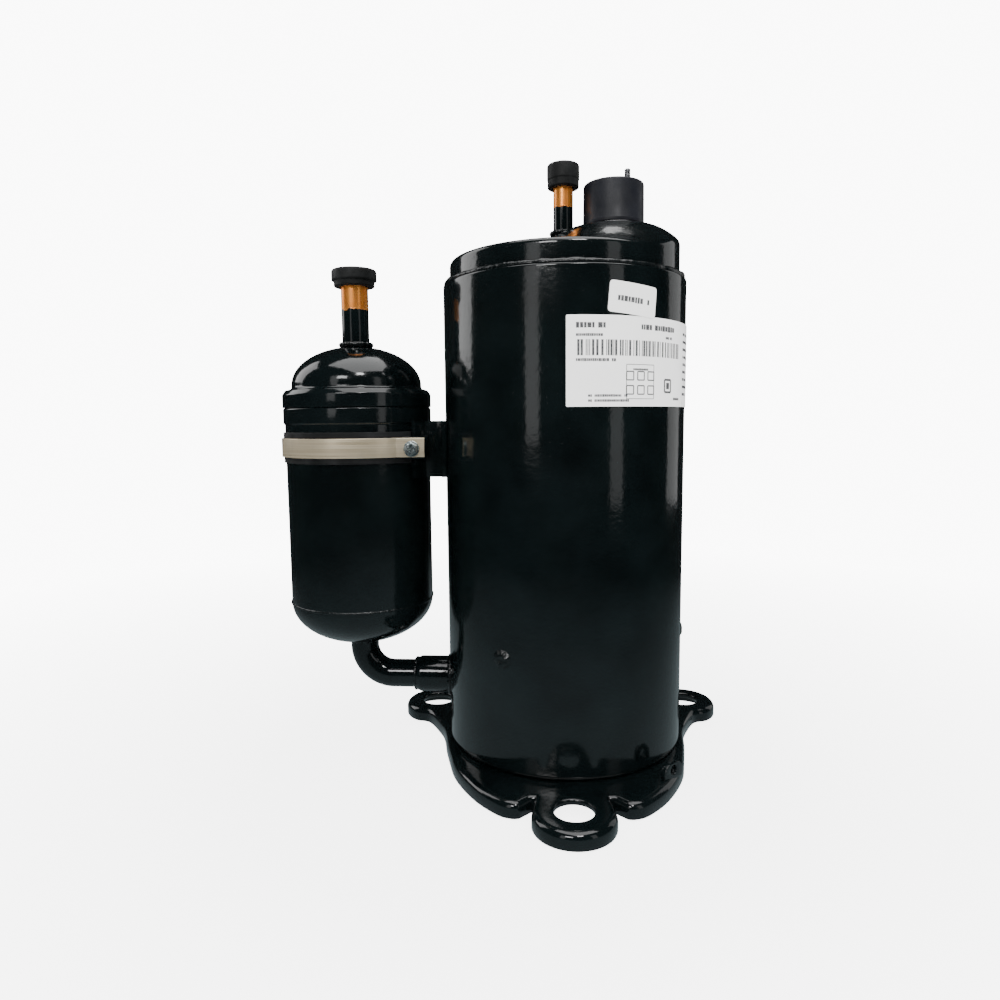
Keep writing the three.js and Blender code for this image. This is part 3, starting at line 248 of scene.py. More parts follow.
def piece(name, bm, material, slot, body, *nodes, at=(0, 0, 0), smooth=40):
    """Finishes a mesh as a piece that rides on a body and stands for CAD nodes."""
    bmesh.ops.translate(bm, verts=bm.verts, vec=Vector(at))
    mesh = mesh_of(name, bm)
    mesh.polygons.foreach_set("use_smooth", [True] * len(mesh.polygons))
    mesh.set_sharp_from_angle(angle=math.radians(smooth))
    mesh.materials.append(material)
    obj = placed(name, mesh)
    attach(obj, body)
    if nodes:
        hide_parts(*nodes)


def joined(*meshes):
    """Several bmeshes as one."""
    whole = bmesh.new()
    for bm in meshes:
        part = mesh_of("part", bm)
        whole.from_mesh(part)
        bpy.data.meshes.remove(part)
    return whole


def carve(bm, *cutters):
    """bm with the cutters' volumes taken away."""
    host = placed("carved", mesh_of("carved", bm))
    tools = [placed("cutter", mesh_of("cutter", cutter)) for cutter in cutters]
    for tool in tools:
        modifier = host.modifiers.new("cut", "BOOLEAN")
        modifier.object = tool
        modifier.operation = "DIFFERENCE"
        modifier.solver = "EXACT"
    ready = host.evaluated_get(bpy.context.evaluated_depsgraph_get())
    out = bmesh.new()
    out.from_mesh(ready.to_mesh())
    for obj in [host, *tools]:
        mesh = obj.data
        bpy.data.objects.remove(obj)
        bpy.data.meshes.remove(mesh)
    return out


def sharp_edges(bm, degrees):
    return [e for e in bm.edges if e.is_manifold and e.calc_face_angle(0) > math.radians(degrees)]


def eased(bm, edges, size, steps):
    """Rounds those edges."""
    bevel = {"offset": size, "segments": steps, "profile": 0.5, "affect": "EDGES", "clamp_overlap": True}
    bmesh.ops.bevel(bm, geom=edges, **bevel)


def shifted(bm, vector, matrix=None):
    if matrix:
        bmesh.ops.transform(bm, matrix=matrix, verts=bm.verts)
    bmesh.ops.translate(bm, verts=bm.verts, vec=Vector(vector))
    return bm


# ---------------------------------------------------------------- materials


class Surface:
    """A material whose colour, roughness and bump come from nodes in object space."""

    def __init__(self, name, metallic=0.0, **constants):
        self.material = bpy.data.materials.new(name)
        self.material.use_nodes = True
        self.nodes = self.material.node_tree.nodes
        self.links = self.material.node_tree.links
        self.shader = self.nodes["Principled BSDF"]
        self.shader.inputs["Metallic"].default_value = metallic
        for socket, value in constants.items():
            self.shader.inputs[socket.replace("_", " ")].default_value = value
        self.space = self.nodes.new("ShaderNodeTexCoord").outputs["Object"]
        self.bumped = None

    def noise(self, scale, detail=4.0, stretch=(1, 1, 1), rough=0.5):
        mapping = self.nodes.new("ShaderNodeMapping")
        mapping.inputs["Scale"].default_value = stretch
        self.links.new(self.space, mapping.inputs["Vector"])
        texture = self.nodes.new("ShaderNodeTexNoise")
        texture.inputs["Scale"].default_value = scale
        texture.inputs["Detail"].default_value = detail
        texture.inputs["Roughness"].default_value = rough
        self.links.new(mapping.outputs["Vector"], texture.inputs["Vector"])
        return texture.outputs["Fac"]

    def cells(self, scale):
        texture = self.nodes.new("ShaderNodeTexVoronoi")
        texture.inputs["Scale"].default_value = scale
        self.links.new(self.space, texture.inputs["Vector"])
        return texture.outputs["Distance"]

    def spread(self, value, low, high, to_low=0.0, to_high=1.0):
        """Maps a value from one range to another, clamped."""
        ranged = self.nodes.new("ShaderNodeMapRange")
        limits = {"From Min": low, "From Max": high, "To Min": to_low, "To Max": to_high}
        for socket, number in limits.items():
            ranged.inputs[socket].default_value = number
        self.links.new(value, ranged.inputs["Value"])
        return ranged.outputs["Result"]

    def math(self, operation, first, second):
        node = self.nodes.new("ShaderNodeMath")
        node.operation = operation
        for socket, value in zip(node.inputs, (first, second)):
            if isinstance(value, (int, float)):
                socket.default_value = value
            else:
                self.links.new(value, socket)
        return node.outputs["Value"]

    def blend(self, factor, first, second):
        """A colour between two, each a colour or the output of an earlier blend."""
        mix = self.nodes.new("ShaderNodeMix")
        mix.data_type = "RGBA"
        self.links.new(factor, mix.inputs["Factor"])
        for index, value in ((6, first), (7, second)):
            if isinstance(value, tuple):
                mix.inputs[index].default_value = (*value, 1)
            else:
                self.links.new(value, mix.inputs[index])
        return mix.outputs[2]

    def axis(self, name):
        separate = self.nodes.new("ShaderNodeSeparateXYZ")
        self.links.new(self.space, separate.inputs["Vector"])
        return separate.outputs[name]

    def colour(self, value):
        self.links.new(value, self.shader.inputs["Base Color"])
        return self

    def roughness(self, value):
        self.links.new(value, self.shader.inputs["Roughness"])
        return self

    def metal(self, value):
        self.links.new(value, self.shader.inputs["Metallic"])
        return self

    def mottle(self, scale, detail, low, high, first, second):
        """Colour that wanders between two tones."""
        return self.colour(self.blend(self.spread(self.noise(scale, detail), low, high), first, second))

    def dull(self, scale, detail, low, high):
        """Roughness that wanders between two values."""
        return self.roughness(self.spread(self.noise(scale, detail), 0.3, 0.7, low, high))

    def glow(self, colour, strength=1.0):
        """An emission shader and the socket of its strength."""
        node = self.nodes.new("ShaderNodeEmission")
        node.inputs["Color"].default_value = (*colour, 1)
        node.inputs["Strength"].default_value = strength
        return node.outputs["Emission"], node.inputs["Strength"]

    def bump(self, height, depth, strength=1.0):
        node = self.nodes.new("ShaderNodeBump")
        node.inputs["Distance"].default_value = depth
        node.inputs["Strength"].default_value = strength
        self.links.new(height, node.inputs["Height"])
        if self.bumped:
            self.links.new(self.bumped, node.inputs["Normal"])
        self.bumped = node.outputs["Normal"]
        self.links.new(self.bumped, self.shader.inputs["Normal"])
        return self


PAINT_DARK = (0.0010, 0.0021, 0.0023)
PAINT_LIGHT = (0.0026, 0.0048, 0.0052)


def paint_coat(s):
    """Colour and roughness of thick gloss black enamel: faint clouding, dust nibs and dull scuffs."""
    cloud = s.spread(s.noise(38, 5), 0.35, 0.7)
    colour = s.blend(cloud, PAINT_DARK, PAINT_LIGHT)
    dust = s.spread(s.noise(2600, 2), 0.74, 0.84, 0, 0.25)
    colour = s.blend(dust, colour, (0.022, 0.024, 0.025))
    scuff = s.spread(s.noise(60, 6, (1, 1, 0.25), 0.65), 0.62, 0.78, 0, 0.2)
    rough = s.math("ADD", s.spread(s.noise(22, 3), 0.3, 0.7, 0.07, 0.15), scuff)
    return colour, rough


def gloss_black():
    s = Surface("gloss_black_enamel", IOR=1.5, Coat_Weight=0.35, Coat_Roughness=0.05)
    colour, rough = paint_coat(s)
    s.colour(colour).roughness(rough)
    s.bump(s.noise(16, 2), 0.0022, 0.22)
    s.bump(s.noise(420, 2), 0.00018, 0.35)
    return s.bump(s.spread(s.noise(1500, 1), 0.74, 0.82), 0.0001, 0.4).material


def weld_black():
    s = Surface("painted_weld", IOR=1.5, Coat_Weight=0.2, Coat_Roughness=0.12)
    colour, rough = paint_coat(s)
    s.colour(colour).roughness(s.math("ADD", rough, 0.08))
    return s.bump(s.noise(650, 5), 0.0007, 0.6).material


COPPER_LIGHT = (1.0, 0.40, 0.085)
COPPER_DARK = (0.92, 0.26, 0.045)


def bare_copper(s):
    stain = s.spread(s.noise(240, 6, (1, 1, 0.4)), 0.35, 0.75)
    return s.blend(stain, COPPER_LIGHT, COPPER_DARK)


def masked_copper(name, paint_line):
    """Copper tube with enamel up to a wavy line at that height."""
    s = Surface(name, IOR=1.5)
    wave = s.spread(s.noise(320, 3, (1, 1, 0.1)), 0.3, 0.7, -0.0009, 0.0009)
    height = s.math("ADD", s.axis("Z"), wave)
    bare = s.spread(height, paint_line - 0.0002, paint_line + 0.0002)
    enamel, rough = paint_coat(s)
    s.colour(s.blend(bare, enamel, bare_copper(s)))
    s.metal(s.math("MULTIPLY", bare, 0.85))
    metal_rough = s.spread(s.noise(500, 4, (1, 1, 0.2)), 0.3, 0.7, 0.22, 0.42)
    lift = s.math("MULTIPLY", s.math("SUBTRACT", metal_rough, rough), bare)
    s.roughness(s.math("ADD", rough, lift))
    s.bump(s.math("SUBTRACT", 1.0, bare), 0.0001, 0.8)
    return s.bump(s.noise(900, 3, (1, 1, 0.1)), 0.00006, 0.5).material


def copper():
    s = Surface("bare_copper", metallic=1.0)
    s.colour(bare_copper(s)).dull(500, 4, 0.25, 0.45)
    return s.bump(s.noise(900, 3), 0.00006, 0.5).material


def moulded_rubber():
    s = Surface("moulded_rubber", Sheen_Weight=0.02, IOR=1.38)
    s.mottle(120, 6, 0.4, 0.75, (0.003, 0.004, 0.004), (0.010, 0.011, 0.012))
    s.dull(260, 4, 0.48, 0.72)
    return s.bump(s.noise(1800, 4), 0.00012, 0.6).material


def moulded_plastic(name, dark, light):
    s = Surface(name, IOR=1.38)
    s.mottle(45, 5, 0.35, 0.7, dark, light)
    s.dull(200, 4, 0.34, 0.5)
    return s.bump(s.noise(2400, 3), 0.00008, 0.5).material


def fibre_gasket():
    s = Surface("fibre_gasket")
    s.colour(s.blend(s.noise(900, 6), (0.16, 0.16, 0.17), (0.36, 0.36, 0.37)))
    s.dull(600, 3, 0.7, 0.9)
    return s.bump(s.noise(1600, 5), 0.0002, 0.7).material


def rolled_strip():
    s = Surface("plated_strip", metallic=0.8)
    grain = s.noise(260, 6, (0.06, 0.06, 6))
    tone = s.blend(s.spread(grain, 0.3, 0.7), (0.66, 0.55, 0.37), (0.84, 0.74, 0.55))
    s.colour(s.blend(s.spread(s.noise(70, 4), 0.5, 0.8, 0, 0.5), tone, (0.46, 0.40, 0.32)))
    s.roughness(s.spread(grain, 0.3, 0.7, 0.26, 0.42))
    return s.bump(grain, 0.00008, 0.4).material


def zinc_plate():
    s = Surface("blue_zinc_plate", metallic=1.0)
    s.mottle(420, 5, 0.35, 0.7, (0.55, 0.66, 0.67), (0.70, 0.74, 0.72))
    s.dull(700, 4, 0.2, 0.4)
    return s.bump(s.noise(1500, 3), 0.00008, 0.5).material


def label_film():
    s = Surface("label_film", IOR=1.45)
    s.mottle(55, 5, 0.4, 0.8, (0.96, 0.96, 0.95), (0.91, 0.91, 0.90))
    s.dull(150, 4, 0.26, 0.42)
    return s.bump(s.noise(130, 3), 0.00012, 0.4).material


def thermal_ink():
    s = Surface("thermal_ink")
    s.mottle(2500, 3, 0.45, 0.75, (0.035, 0.035, 0.04), (0.2, 0.2, 0.2))
    s.dull(800, 3, 0.4, 0.6)
    return s.bump(s.noise(2500, 2), 0.00002, 0.5).material


def machined_steel(name="machined_steel", light=(0.50, 0.51, 0.52), dark=(0.33, 0.34, 0.35)):
    s = Surface(name, metallic=1.0)
    lathe_marks = s.noise(900, 4, (0.1, 0.1, 3))
    s.mottle(90, 5, 0.35, 0.7, light, dark)
    s.roughness(s.spread(lathe_marks, 0.3, 0.7, 0.2, 0.4))
    return s.bump(lathe_marks, 0.00006, 0.4).material


def grey_iron():
    s = Surface("grey_cast_iron", metallic=1.0)
    s.mottle(160, 6, 0.35, 0.7, (0.17, 0.18, 0.18), (0.28, 0.29, 0.29))
    s.dull(400, 5, 0.42, 0.66)
    return s.bump(s.noise(1200, 6), 0.0003, 0.6).material


def stacked_sheet():
    """Motor laminations: fine level lines with a blued edge."""
    s = Surface("stacked_lamination", metallic=1.0)
    sheet = s.math("FRACT", s.math("MULTIPLY", s.axis("Z"), 2000.0), 0.0)
    edge = s.spread(sheet, 0.0, 0.25)
    s.colour(s.blend(edge, (0.06, 0.07, 0.09), (0.33, 0.34, 0.37)))
    s.dull(500, 4, 0.35, 0.55)
    return s.bump(edge, 0.0001, 0.6).material


def enamelled_wire():
    """Windings: rows of round wire under varnish."""
    s = Surface("enamelled_wire", metallic=0.7, Coat_Weight=0.4, Coat_Roughness=0.15)
    rows = s.noise(700, 2, (1, 1, 0.15))
    s.colour(s.blend(s.spread(rows, 0.35, 0.65), (0.28, 0.075, 0.02), (0.60, 0.21, 0.06)))
    s.dull(300, 4, 0.25, 0.45)
    return s.bump(rows, 0.0005, 0.8).material


def cast_aluminium():
    s = Surface("cast_aluminium", metallic=1.0)
    s.mottle(130, 5, 0.35, 0.7, (0.62, 0.63, 0.64), (0.48, 0.49, 0.50))
    s.dull(420, 5, 0.34, 0.55)
    return s.bump(s.noise(900, 5), 0.0002, 0.5).material


def fused_glass():
    s = Surface("fused_glass", IOR=1.52, Coat_Weight=0.5)
    s.mottle(700, 4, 0.35, 0.7, (0.01, 0.035, 0.05), (0.03, 0.08, 0.10))
    s.dull(900, 2, 0.05, 0.14)
    return s.bump(s.noise(1200, 2), 0.00005, 0.4).material


def woven_sleeve():
    s = Surface("woven_sleeve", Sheen_Weight=0.2)
    weave = s.cells(1600)
    s.colour(s.blend(s.spread(weave, 0.1, 0.6), (0.72, 0.71, 0.66), (0.42, 0.41, 0.38)))
    s.dull(500, 3, 0.6, 0.8)
    return s.bump(weave, 0.0002, 0.7).material


def pale_floor():
    """Pale paper, lit by the lamps near the part and fading into the white of the room farther off. In
    reflections it is a painted pale blue glow, strongest near the part, in place of the lit paper.
    """
    s = Surface("pale_floor")
    s.mottle(6, 5, 0.35, 0.7, (0.90, 0.90, 0.90), (0.87, 0.87, 0.87))
    s.dull(40, 4, 0.6, 0.7)
    s.bump(s.noise(800, 3), 0.00005, 0.3)
    length = s.nodes.new("ShaderNodeVectorMath")
    length.operation = "LENGTH"
    s.links.new(s.space, length.inputs[0])
    away = length.outputs["Value"]
    white, _ = s.glow((1, 1, 1), ROOM_WHITE)
    # painted reflection: glossy rays see this pale blue glow instead of the floor, 0.30 strong near the part
    # and fading to 0.02 farther off
    dim, dim_strength = s.glow((0.78, 0.95, 1.0))
    s.links.new(s.spread(away, 0.1, 0.5, 0.30, 0.02), dim_strength)
    path = s.nodes.new("ShaderNodeLightPath")
    far = s.spread(away, 0.12, 0.62, 0.45, 1.0)
    shown = s.shader.outputs["BSDF"]
    fades = (
        # glossy rays get the painted reflection glow in place of the lit paper
        (path.outputs["Is Glossy Ray"], dim),
        (s.math("MULTIPLY", far, path.outputs["Is Camera Ray"]), white),
    )
    for share, other in fades:
        mix = s.nodes.new("ShaderNodeMixShader")
        s.links.new(share, mix.inputs["Fac"])
        s.links.new(shown, mix.inputs[1])
        s.links.new(other, mix.inputs[2])
        shown = mix.outputs["Shader"]
    s.links.new(shown, s.nodes["Material Output"].inputs["Surface"])
    return s.material


ROOM_WHITE = 10.0  # strength of the white room as the camera sees it

BLACK = gloss_black()
WELD = weld_black()
RUBBER = moulded_rubber()
COVER_PLASTIC = moulded_plastic("cover_plastic", (0.005, 0.0055, 0.0085), (0.011, 0.012, 0.0165))
STEEL = machined_steel()
ZINC = zinc_plate()


# ---------------------------------------------------------------- casing

PLUG_WELD_Z = 61.6 * MM
PLATFORM_R = 18.4 * MM
PLATFORM_RUN = 27.5 * MM  # length of the slope down from the platform


def painted(name, bm, *nodes, at=SHELL, smooth=40):
    """A gloss black piece of the casing."""
    piece(name, bm, BLACK, "black_paint", "casing", *nodes, at=at, smooth=smooth)


def welded(name, bm, at=SHELL):
    """A painted bead of weld, which stands for no CAD node."""
    piece(name, bm, WELD, "black_paint", "casing", at=at)


def main_shell():
    bore = SHELL_R - SHEET
    foot = bottom("main_shell")
    corners = [
        (bore, foot, 0.3 * MM),
        (SHELL_R - 1.2 * MM, foot, 1.2 * MM),
        (SHELL_R, foot + 2.2 * MM, 2.4 * MM),
        (SHELL_R, (foot + SHELL_TOP) / 2, 0),
        (SHELL_R, SHELL_TOP, 1.1 * MM),
        (bore, SHELL_TOP, 0.5 * MM),
    ]
    painted("shell_tube", turned(corners, 192), "main_shell")


def cap_bump(x, y):
    """How far the terminal's platform lifts the cap, as a share of its full rise."""
    away = math.hypot(x - (TERMINAL.x - SHELL.x), y)
    t = min(max((away - PLATFORM_R) / PLATFORM_RUN, 0), 1)
    return 1 - t * t * (3 - 2 * t)


def top_cap():
    low = SHELL_TOP + DOME_RISE
    edge = low - DOME_FALL
    skirt = bottom("top_cap")
    platform = top("top_cap")
    inner = CAP_R - SHEET
    dome = [(CAP_R * k / 36, low - DOME_FALL * (k / 36) ** 2, 0) for k in range(34)]
    lining = [(r * inner / CAP_R, z - SHEET, 0) for r, z, _ in dome[::3]]
    corners = dome + [(CAP_R, edge, 6.5 * MM), (CAP_R, SHELL_TOP, 0), (CAP_R, skirt, 0.6 * MM)]
    corners += [(inner, skirt, 0.6 * MM), (inner, edge - SHEET, 3 * MM)] + lining[::-1]

    def lift(v):
        share = min(max((v.z - SHELL_TOP - 1.5 * MM) / (6 * MM), 0), 1)
        drop = DOME_FALL * (v.xy.length / CAP_R) ** 2
        v.z += cap_bump(v.x, v.y) * (platform - low + 0.85 * drop) * share
        v.z = min(v.z, platform)
        return v

    painted("cap_pressing", turned(corners, 192, 8, lift), "top_cap")


def rim_weld():
    welded("rim_weld", weld_ring(CAP_R + 1.5 * MM, SHELL_TOP + 0.5 * MM, 1.6 * MM, 3.0, 400))


def plug_weld(name, azimuth, level):
    """A low lump of weld on the casing's wall, with a sunk middle."""
    bm = bmesh.new()
    size, lift, seat = 4.6 * MM, 1.9 * MM, SHELL_R - 0.25 * MM
    rings = []
    for i in range(15):
        share = i / 14
        height = lift * math.sqrt(max(1 - share**2, 0)) * (0.62 + 0.5 * math.sin(share * 3.0) ** 2)
        ring = []
        for x, y in circle(1, 40) if i else [(1, 0)]:
            rough = 1 + 0.16 * noise.noise(Vector((3 * share * x, 3 * share * y, azimuth)))
            reach = size * share * rough
            turn = azimuth + math.degrees(reach * x / SHELL_R)
            ring.append(bm.verts.new(polar(seat + height * rough, turn, level + reach * y)))
        rings.append(ring)
    back = [bm.verts.new(v.co * 0.985) for v in rings[-1]]
    skin(bm, rings + [back])
    bm.faces.new(back)
    welded(name, bm)


def bottom_cap():
    floor = bottom("bottom_cap")
    seat = bottom("main_shell")
    rim = top("bottom_cap")
    inner = CAP_R - SHEET
    dish = 37 * MM
    corners = [
        (0, floor, 0),
        (dish, floor, 3 * MM),
        (dish + 4 * MM, seat, 3 * MM),
        (CAP_R, seat, 4 * MM),
        (CAP_R, rim, 0.6 * MM),
        (inner, rim, 0.6 * MM),
        (inner, seat + SHEET, 2 * MM),
        (dish + 3 * MM, seat + SHEET, 2 * MM),
        (dish - 1 * MM, floor + SHEET, 2 * MM),
        (0, floor + SHEET, 0),
    ]
    painted("lower_cap", turned(corners, 160), "bottom_cap")


# ---------------------------------------------------------------- base plate

PLATE_TURN = 2.1
FOOT_CIRCLE = 81.5 * MM
FOOT_R = 18.12 * MM
FOOT_HOLE = 8.5 * MM
PLATE_TOP = bottom("main_shell") - GAP
PLATE_WALL = 2.8 * MM
PLATE_BEND = 3.4 * MM
PLATE_OPENING = 42 * MM
LUG_AZIMUTH = 44
LUG_FACE = SHELL_R + 8.6 * MM + PLATE_WALL
LUG_WIDTH = 13 * MM
LUG_HOLE = 2.2 * MM


def smooth_loop(points, steps):
    """A closed curve through the points."""
    result = []
    for i, point in enumerate(points):
        before, after, beyond = points[i - 1], points[(i + 1) % len(points)], points[(i + 2) % len(points)]
        for k in range(steps):
            t = k / steps
            pull = (after - before) * 0.5
            push = (beyond - point) * 0.5
            a = 2 * t**3 - 3 * t**2 + 1
            b = t**3 - 2 * t**2 + t
            c = -2 * t**3 + 3 * t**2
            d = t**3 - t**2
            result.append(point * a + pull * b + after * c + push * d)
    return result


def plate_outline():
    waist = SHELL_R + 3 * MM
    front = [(13.4, 72.7), (15.6, 76.5), (17, 79.5), (19.6, 80.7), (24, 80.1), (33, 76), (43, 71.4)]
    front += [(53, 67.6), (63, 64), (76, 62), (89, 62.6), (98, 67)]
    rear = [(141, 67), (152, 63), (166, 62)]

    def lobe(foot, first, last):
        spots = [foot + first + (last - first) * i / 8 for i in range(9)]
        return [polar(FOOT_R, spot) + polar(FOOT_CIRCLE, foot) for spot in spots]

    def web(spots, side):
        return [polar(reach * MM, side * azimuth) for azimuth, reach in spots][::side]

    points = lobe(0, -105, 105) + web(front, 1) + lobe(120, -110, 106) + web(rear, 1)
    points += [polar(waist, 180)] + web(rear, -1) + lobe(240, -106, 110) + web(front, -1)
    turn = Matrix.Rotation(math.radians(PLATE_TURN), 3, "Z")
    return smooth_loop([turn @ p for p in points], 4)


def inset(outline, distance, z):
    """The outline moved inward by a distance, at a height."""
    moved = []
    for i, point in enumerate(outline):
        along = (outline[(i + 1) % len(outline)] - outline[i - 1]).normalized()
        moved.append(Vector((point.x - along.y * distance, point.y + along.x * distance, z)))
    return moved


def base_plate():
    outline = plate_outline()
    under = PLATE_TOP - PLATE_WALL
    edge = 0.6 * MM

    def bent(outset, level, bend):
        angles = [math.pi / 2 * k / 8 for k in range(9)]
        steps = [(outset + bend * (1 - math.sin(a)), level - bend * (1 - math.cos(a))) for a in angles]
        return [inset(outline, distance, z) for distance, z in steps]

    hem = [(0, edge), (0.3 * edge, 0.3 * edge), (edge, 0), (PLATE_WALL - edge, 0), (PLATE_WALL, edge)]
    loops = bent(0, PLATE_TOP, PLATE_BEND) + [inset(outline, distance, z) for distance, z in hem]
    loops += bent(PLATE_WALL, under, PLATE_BEND - PLATE_WALL)[::-1]
    bm = bmesh.new()
    rings = [[bm.verts.new(p) for p in loop] for loop in loops]
    skin(bm, rings)
    holes = [(polar(FOOT_CIRCLE, 120 * i + PLATE_TURN), FOOT_HOLE, 1.1 * MM, 64) for i in range(3)]
    holes.append((Vector(), PLATE_OPENING, 0.6 * MM, 128))
    upper_edges, lower_edges = loop_edges(bm, rings[0]), loop_edges(bm, rings[-1])
    for centre, size, ease, count in holes:
        brim = size + 3 * ease
        wall = [(brim, PLATE_TOP, 0), (size, PLATE_TOP, ease), (size, under, ease), (brim, under, 0)]
        ladder = [level_ring(bm, p.x, p.y, count, centre) for p in rounded(wall)[1:-1]]
        skin(bm, ladder)
        upper_edges += loop_edges(bm, ladder[0])
        lower_edges += loop_edges(bm, ladder[-1])
    for edges, facing in ((upper_edges, 1), (lower_edges, -1)):
        bmesh.ops.triangle_fill(bm, edges=edges, use_beauty=True, normal=(0, 0, facing))
    painted("foot_plate", joined(bm, earth_lug()), "base_plate", smooth=30)


def earth_lug():
    """The drilled lug that stands on the plate beside the front foot."""
    crown, foot = top("base_plate"), PLATE_TOP - PLATE_WALL / 2
    lug = bmesh.new()
    bmesh.ops.create_cube(lug, size=1)
    bmesh.ops.scale(lug, vec=(LUG_WIDTH, PLATE_WALL, crown - foot), verts=lug.verts)
    bmesh.ops.translate(lug, vec=(0, PLATE_WALL / 2 - LUG_FACE, (crown + foot) / 2), verts=lug.verts)
    through = [e for e in lug.edges if abs(e.verts[0].co.y - e.verts[1].co.y) > PLATE_WALL / 2]
    corners = [e for e in through if e.verts[0].co.z > foot + MM]
    eased(lug, corners, 4.6 * MM, 8)
    lying = Matrix.Rotation(math.pi / 2, 4, "X")
    drill = shifted(post(LUG_HOLE, 0, 12 * MM), (0, 6 * MM - LUG_FACE, (crown + PLATE_TOP) / 2), lying)
    lug = carve(lug, drill)
    eased(lug, sharp_edges(lug, 50), 0.35 * MM, 3)
    return shifted(lug, (0, 0, 0), Matrix.Rotation(math.radians(LUG_AZIMUTH), 4, "Z"))


def loop_edges(bm, ring):
    found = []
    for first, second in zip(ring, ring[1:] + ring[:1]):
        found.append(bm.edges.get((first, second)) or bm.edges.new((first, second)))
    return found


# ---------------------------------------------------------------- stubs and plugs

DISCHARGE_PAINT = 37.4 * MM  # height of the enamel above the casing's rim
SUCTION_BARE = 17.7 * MM  # length of bare copper


def stub(name, node, at, wall, material):
    size = radius(node)
    low, high = bottom(node), top(node)
    corners = [
        (size - wall, low, 0.2 * MM),
        (size, low, 0.2 * MM),
        (size, high, 0.25 * MM),
        (size - wall, high, 0.25 * MM),
    ]
    piece(name, turned(corners, 72), material, "copper", "casing", node, at=at)


def shipping_plug(name, node, at, stub_node, brim):
    """A rubber cup pushed over a stub: a brim, a softer skirt under it and a dimple in its roof."""
    size = radius(node)
    low, high = bottom(node), top(node)
    neck = size * brim
    split = low + 0.36 * (high - low)
    socket = radius(stub_node) + GAP
    roof = top(stub_node) + GAP
    corners = [
        (0, high - 0.5 * MM, 0),
        (0.42 * size, high - 0.5 * MM, 0.6 * MM),
        (0.5 * size, high, 0.6 * MM),
        (size, high, 1.5 * MM),
        (size, split, 0.9 * MM),
        (neck, split - 0.5 * MM, 0.5 * MM),
        (neck, low, 0.8 * MM),
        (socket, low, 0.3 * MM),
        (socket, roof, 0.2 * MM),
        (0, roof, 0),
    ]
    piece(name, turned(corners, 96), RUBBER, "rubber", node, node, at=at)


def stubs():
    inlet = "accumulator_inlet_tube"
    discharge_copper = masked_copper("discharge_copper", SHELL_TOP + DISCHARGE_PAINT)
    suction_copper = masked_copper("suction_copper", top(inlet) - SUCTION_BARE)
    stub("discharge_stub", "discharge_tube", SHELL, 0.9 * MM, discharge_copper)
    stub("suction_stub", inlet, TANK, 1 * MM, suction_copper)
    shipping_plug("discharge_cap", "discharge_plug", SHELL, "discharge_tube", 0.97)
    shipping_plug("suction_cap", "suction_plug", TANK, inlet, 0.9)
    low = SHELL_TOP + DOME_RISE
    cap_height = low + cap_bump(0, 0) * (top("top_cap") - low)
    bead = weld_ring(radius("discharge_tube") + 0.7 * MM, cap_height + 0.4 * MM, 1.1 * MM, 9.0)
    welded("discharge_braze", bead)
    dome_top = top("accumulator_top_cap")
    welded("suction_braze", weld_ring(radius(inlet) + 0.5 * MM, dome_top + 0.9 * MM, 1.3 * MM, 5.0), TANK)


# ---------------------------------------------------------------- terminal


def terminal_cover():
    size = radius("terminal_cover")
    low, high = bottom("terminal_cover"), top("terminal_cover")
    wall = 1.6 * MM
    stud = middle("terminal_stud").xy.to_3d() - TERMINAL
    corners = [
        (0, high, 0),
        (size - 0.25 * MM, high, 1.4 * MM),
        (size - 0.1 * MM, low + 1.6 * MM, 0),
        (size, low + 1.4 * MM, 0.2 * MM),
        (size, low, 0.3 * MM),
        (size - wall, low, 0.3 * MM),
        (size - wall, high - wall, 0.8 * MM),
        (0, high - wall, 0),
    ]
    cup = carve(turned(corners, 128), shifted(post(1.75 * MM, low, high + MM), stud))
    piece("cover_cup", cup, COVER_PLASTIC, "dark_plastic", "cover", "terminal_cover", at=TERMINAL)
    node = "terminal_gasket"
    ring = sleeve(10.8 * MM, radius(node), bottom(node), top(node), 0.2 * MM, 0.35 * MM, 128)
    piece("gasket_ring", ring, fibre_gasket(), "gasket", "casing", node, at=TERMINAL)


def terminal_stud():
    """A plain stud with rolled grooves toward its end."""
    size = radius("terminal_stud")
    low, high = bottom("terminal_stud"), top("terminal_stud")
    pitch = 0.6 * MM
    grooves = 20
    start = high - grooves * pitch - 0.8 * MM
    corners = [(0, low, 0), (size, low, 0.1 * MM), (size, start, 0)]
    for k in range(grooves):
        z = start + pitch * k
        corners += [(size - 0.22 * MM, z + 0.5 * pitch, 0), (size, z + pitch, 0)]
    corners += [(size, high - 0.5 * MM, 0), (size - 0.5 * MM, high, 0), (0, high, 0)]
    at = middle("terminal_stud").xy.to_3d()
    piece("stud", turned(corners, 32), STEEL, "steel", "casing", "terminal_stud", at=at, smooth=25)


# ---------------------------------------------------------------- accumulator


def tank_top():
    top_z = top("accumulator_top_cap")
    hole = radius("accumulator_inlet_tube") + GAP
    collar = radius("accumulator_top_cap")
    low = bottom("accumulator_top_cap")
    neck = 32.4 * MM
    shoulder = low + 11 * MM
    inner = arc(hole, neck - 2 * MM, shoulder, top_z - 2 * MM)
    corners = arc(hole, neck, shoulder, top_z, 26)
    corners += [
        (neck + 0.1 * MM, shoulder - 1.7 * MM, 1.2 * MM),
        (collar - 1.4 * MM, shoulder - 2.6 * MM, 1.0 * MM),
        (collar, low + 6.2 * MM, 1.2 * MM),
        (collar, low, 0.5 * MM),
        (TANK_R + GAP, low, 0.2 * MM),
        (TANK_R + GAP, low + 6 * MM, 0.5 * MM),
    ]
    corners += inner[::-1]
    painted("tank_dome", turned(corners, 160), "accumulator_top_cap", at=TANK)


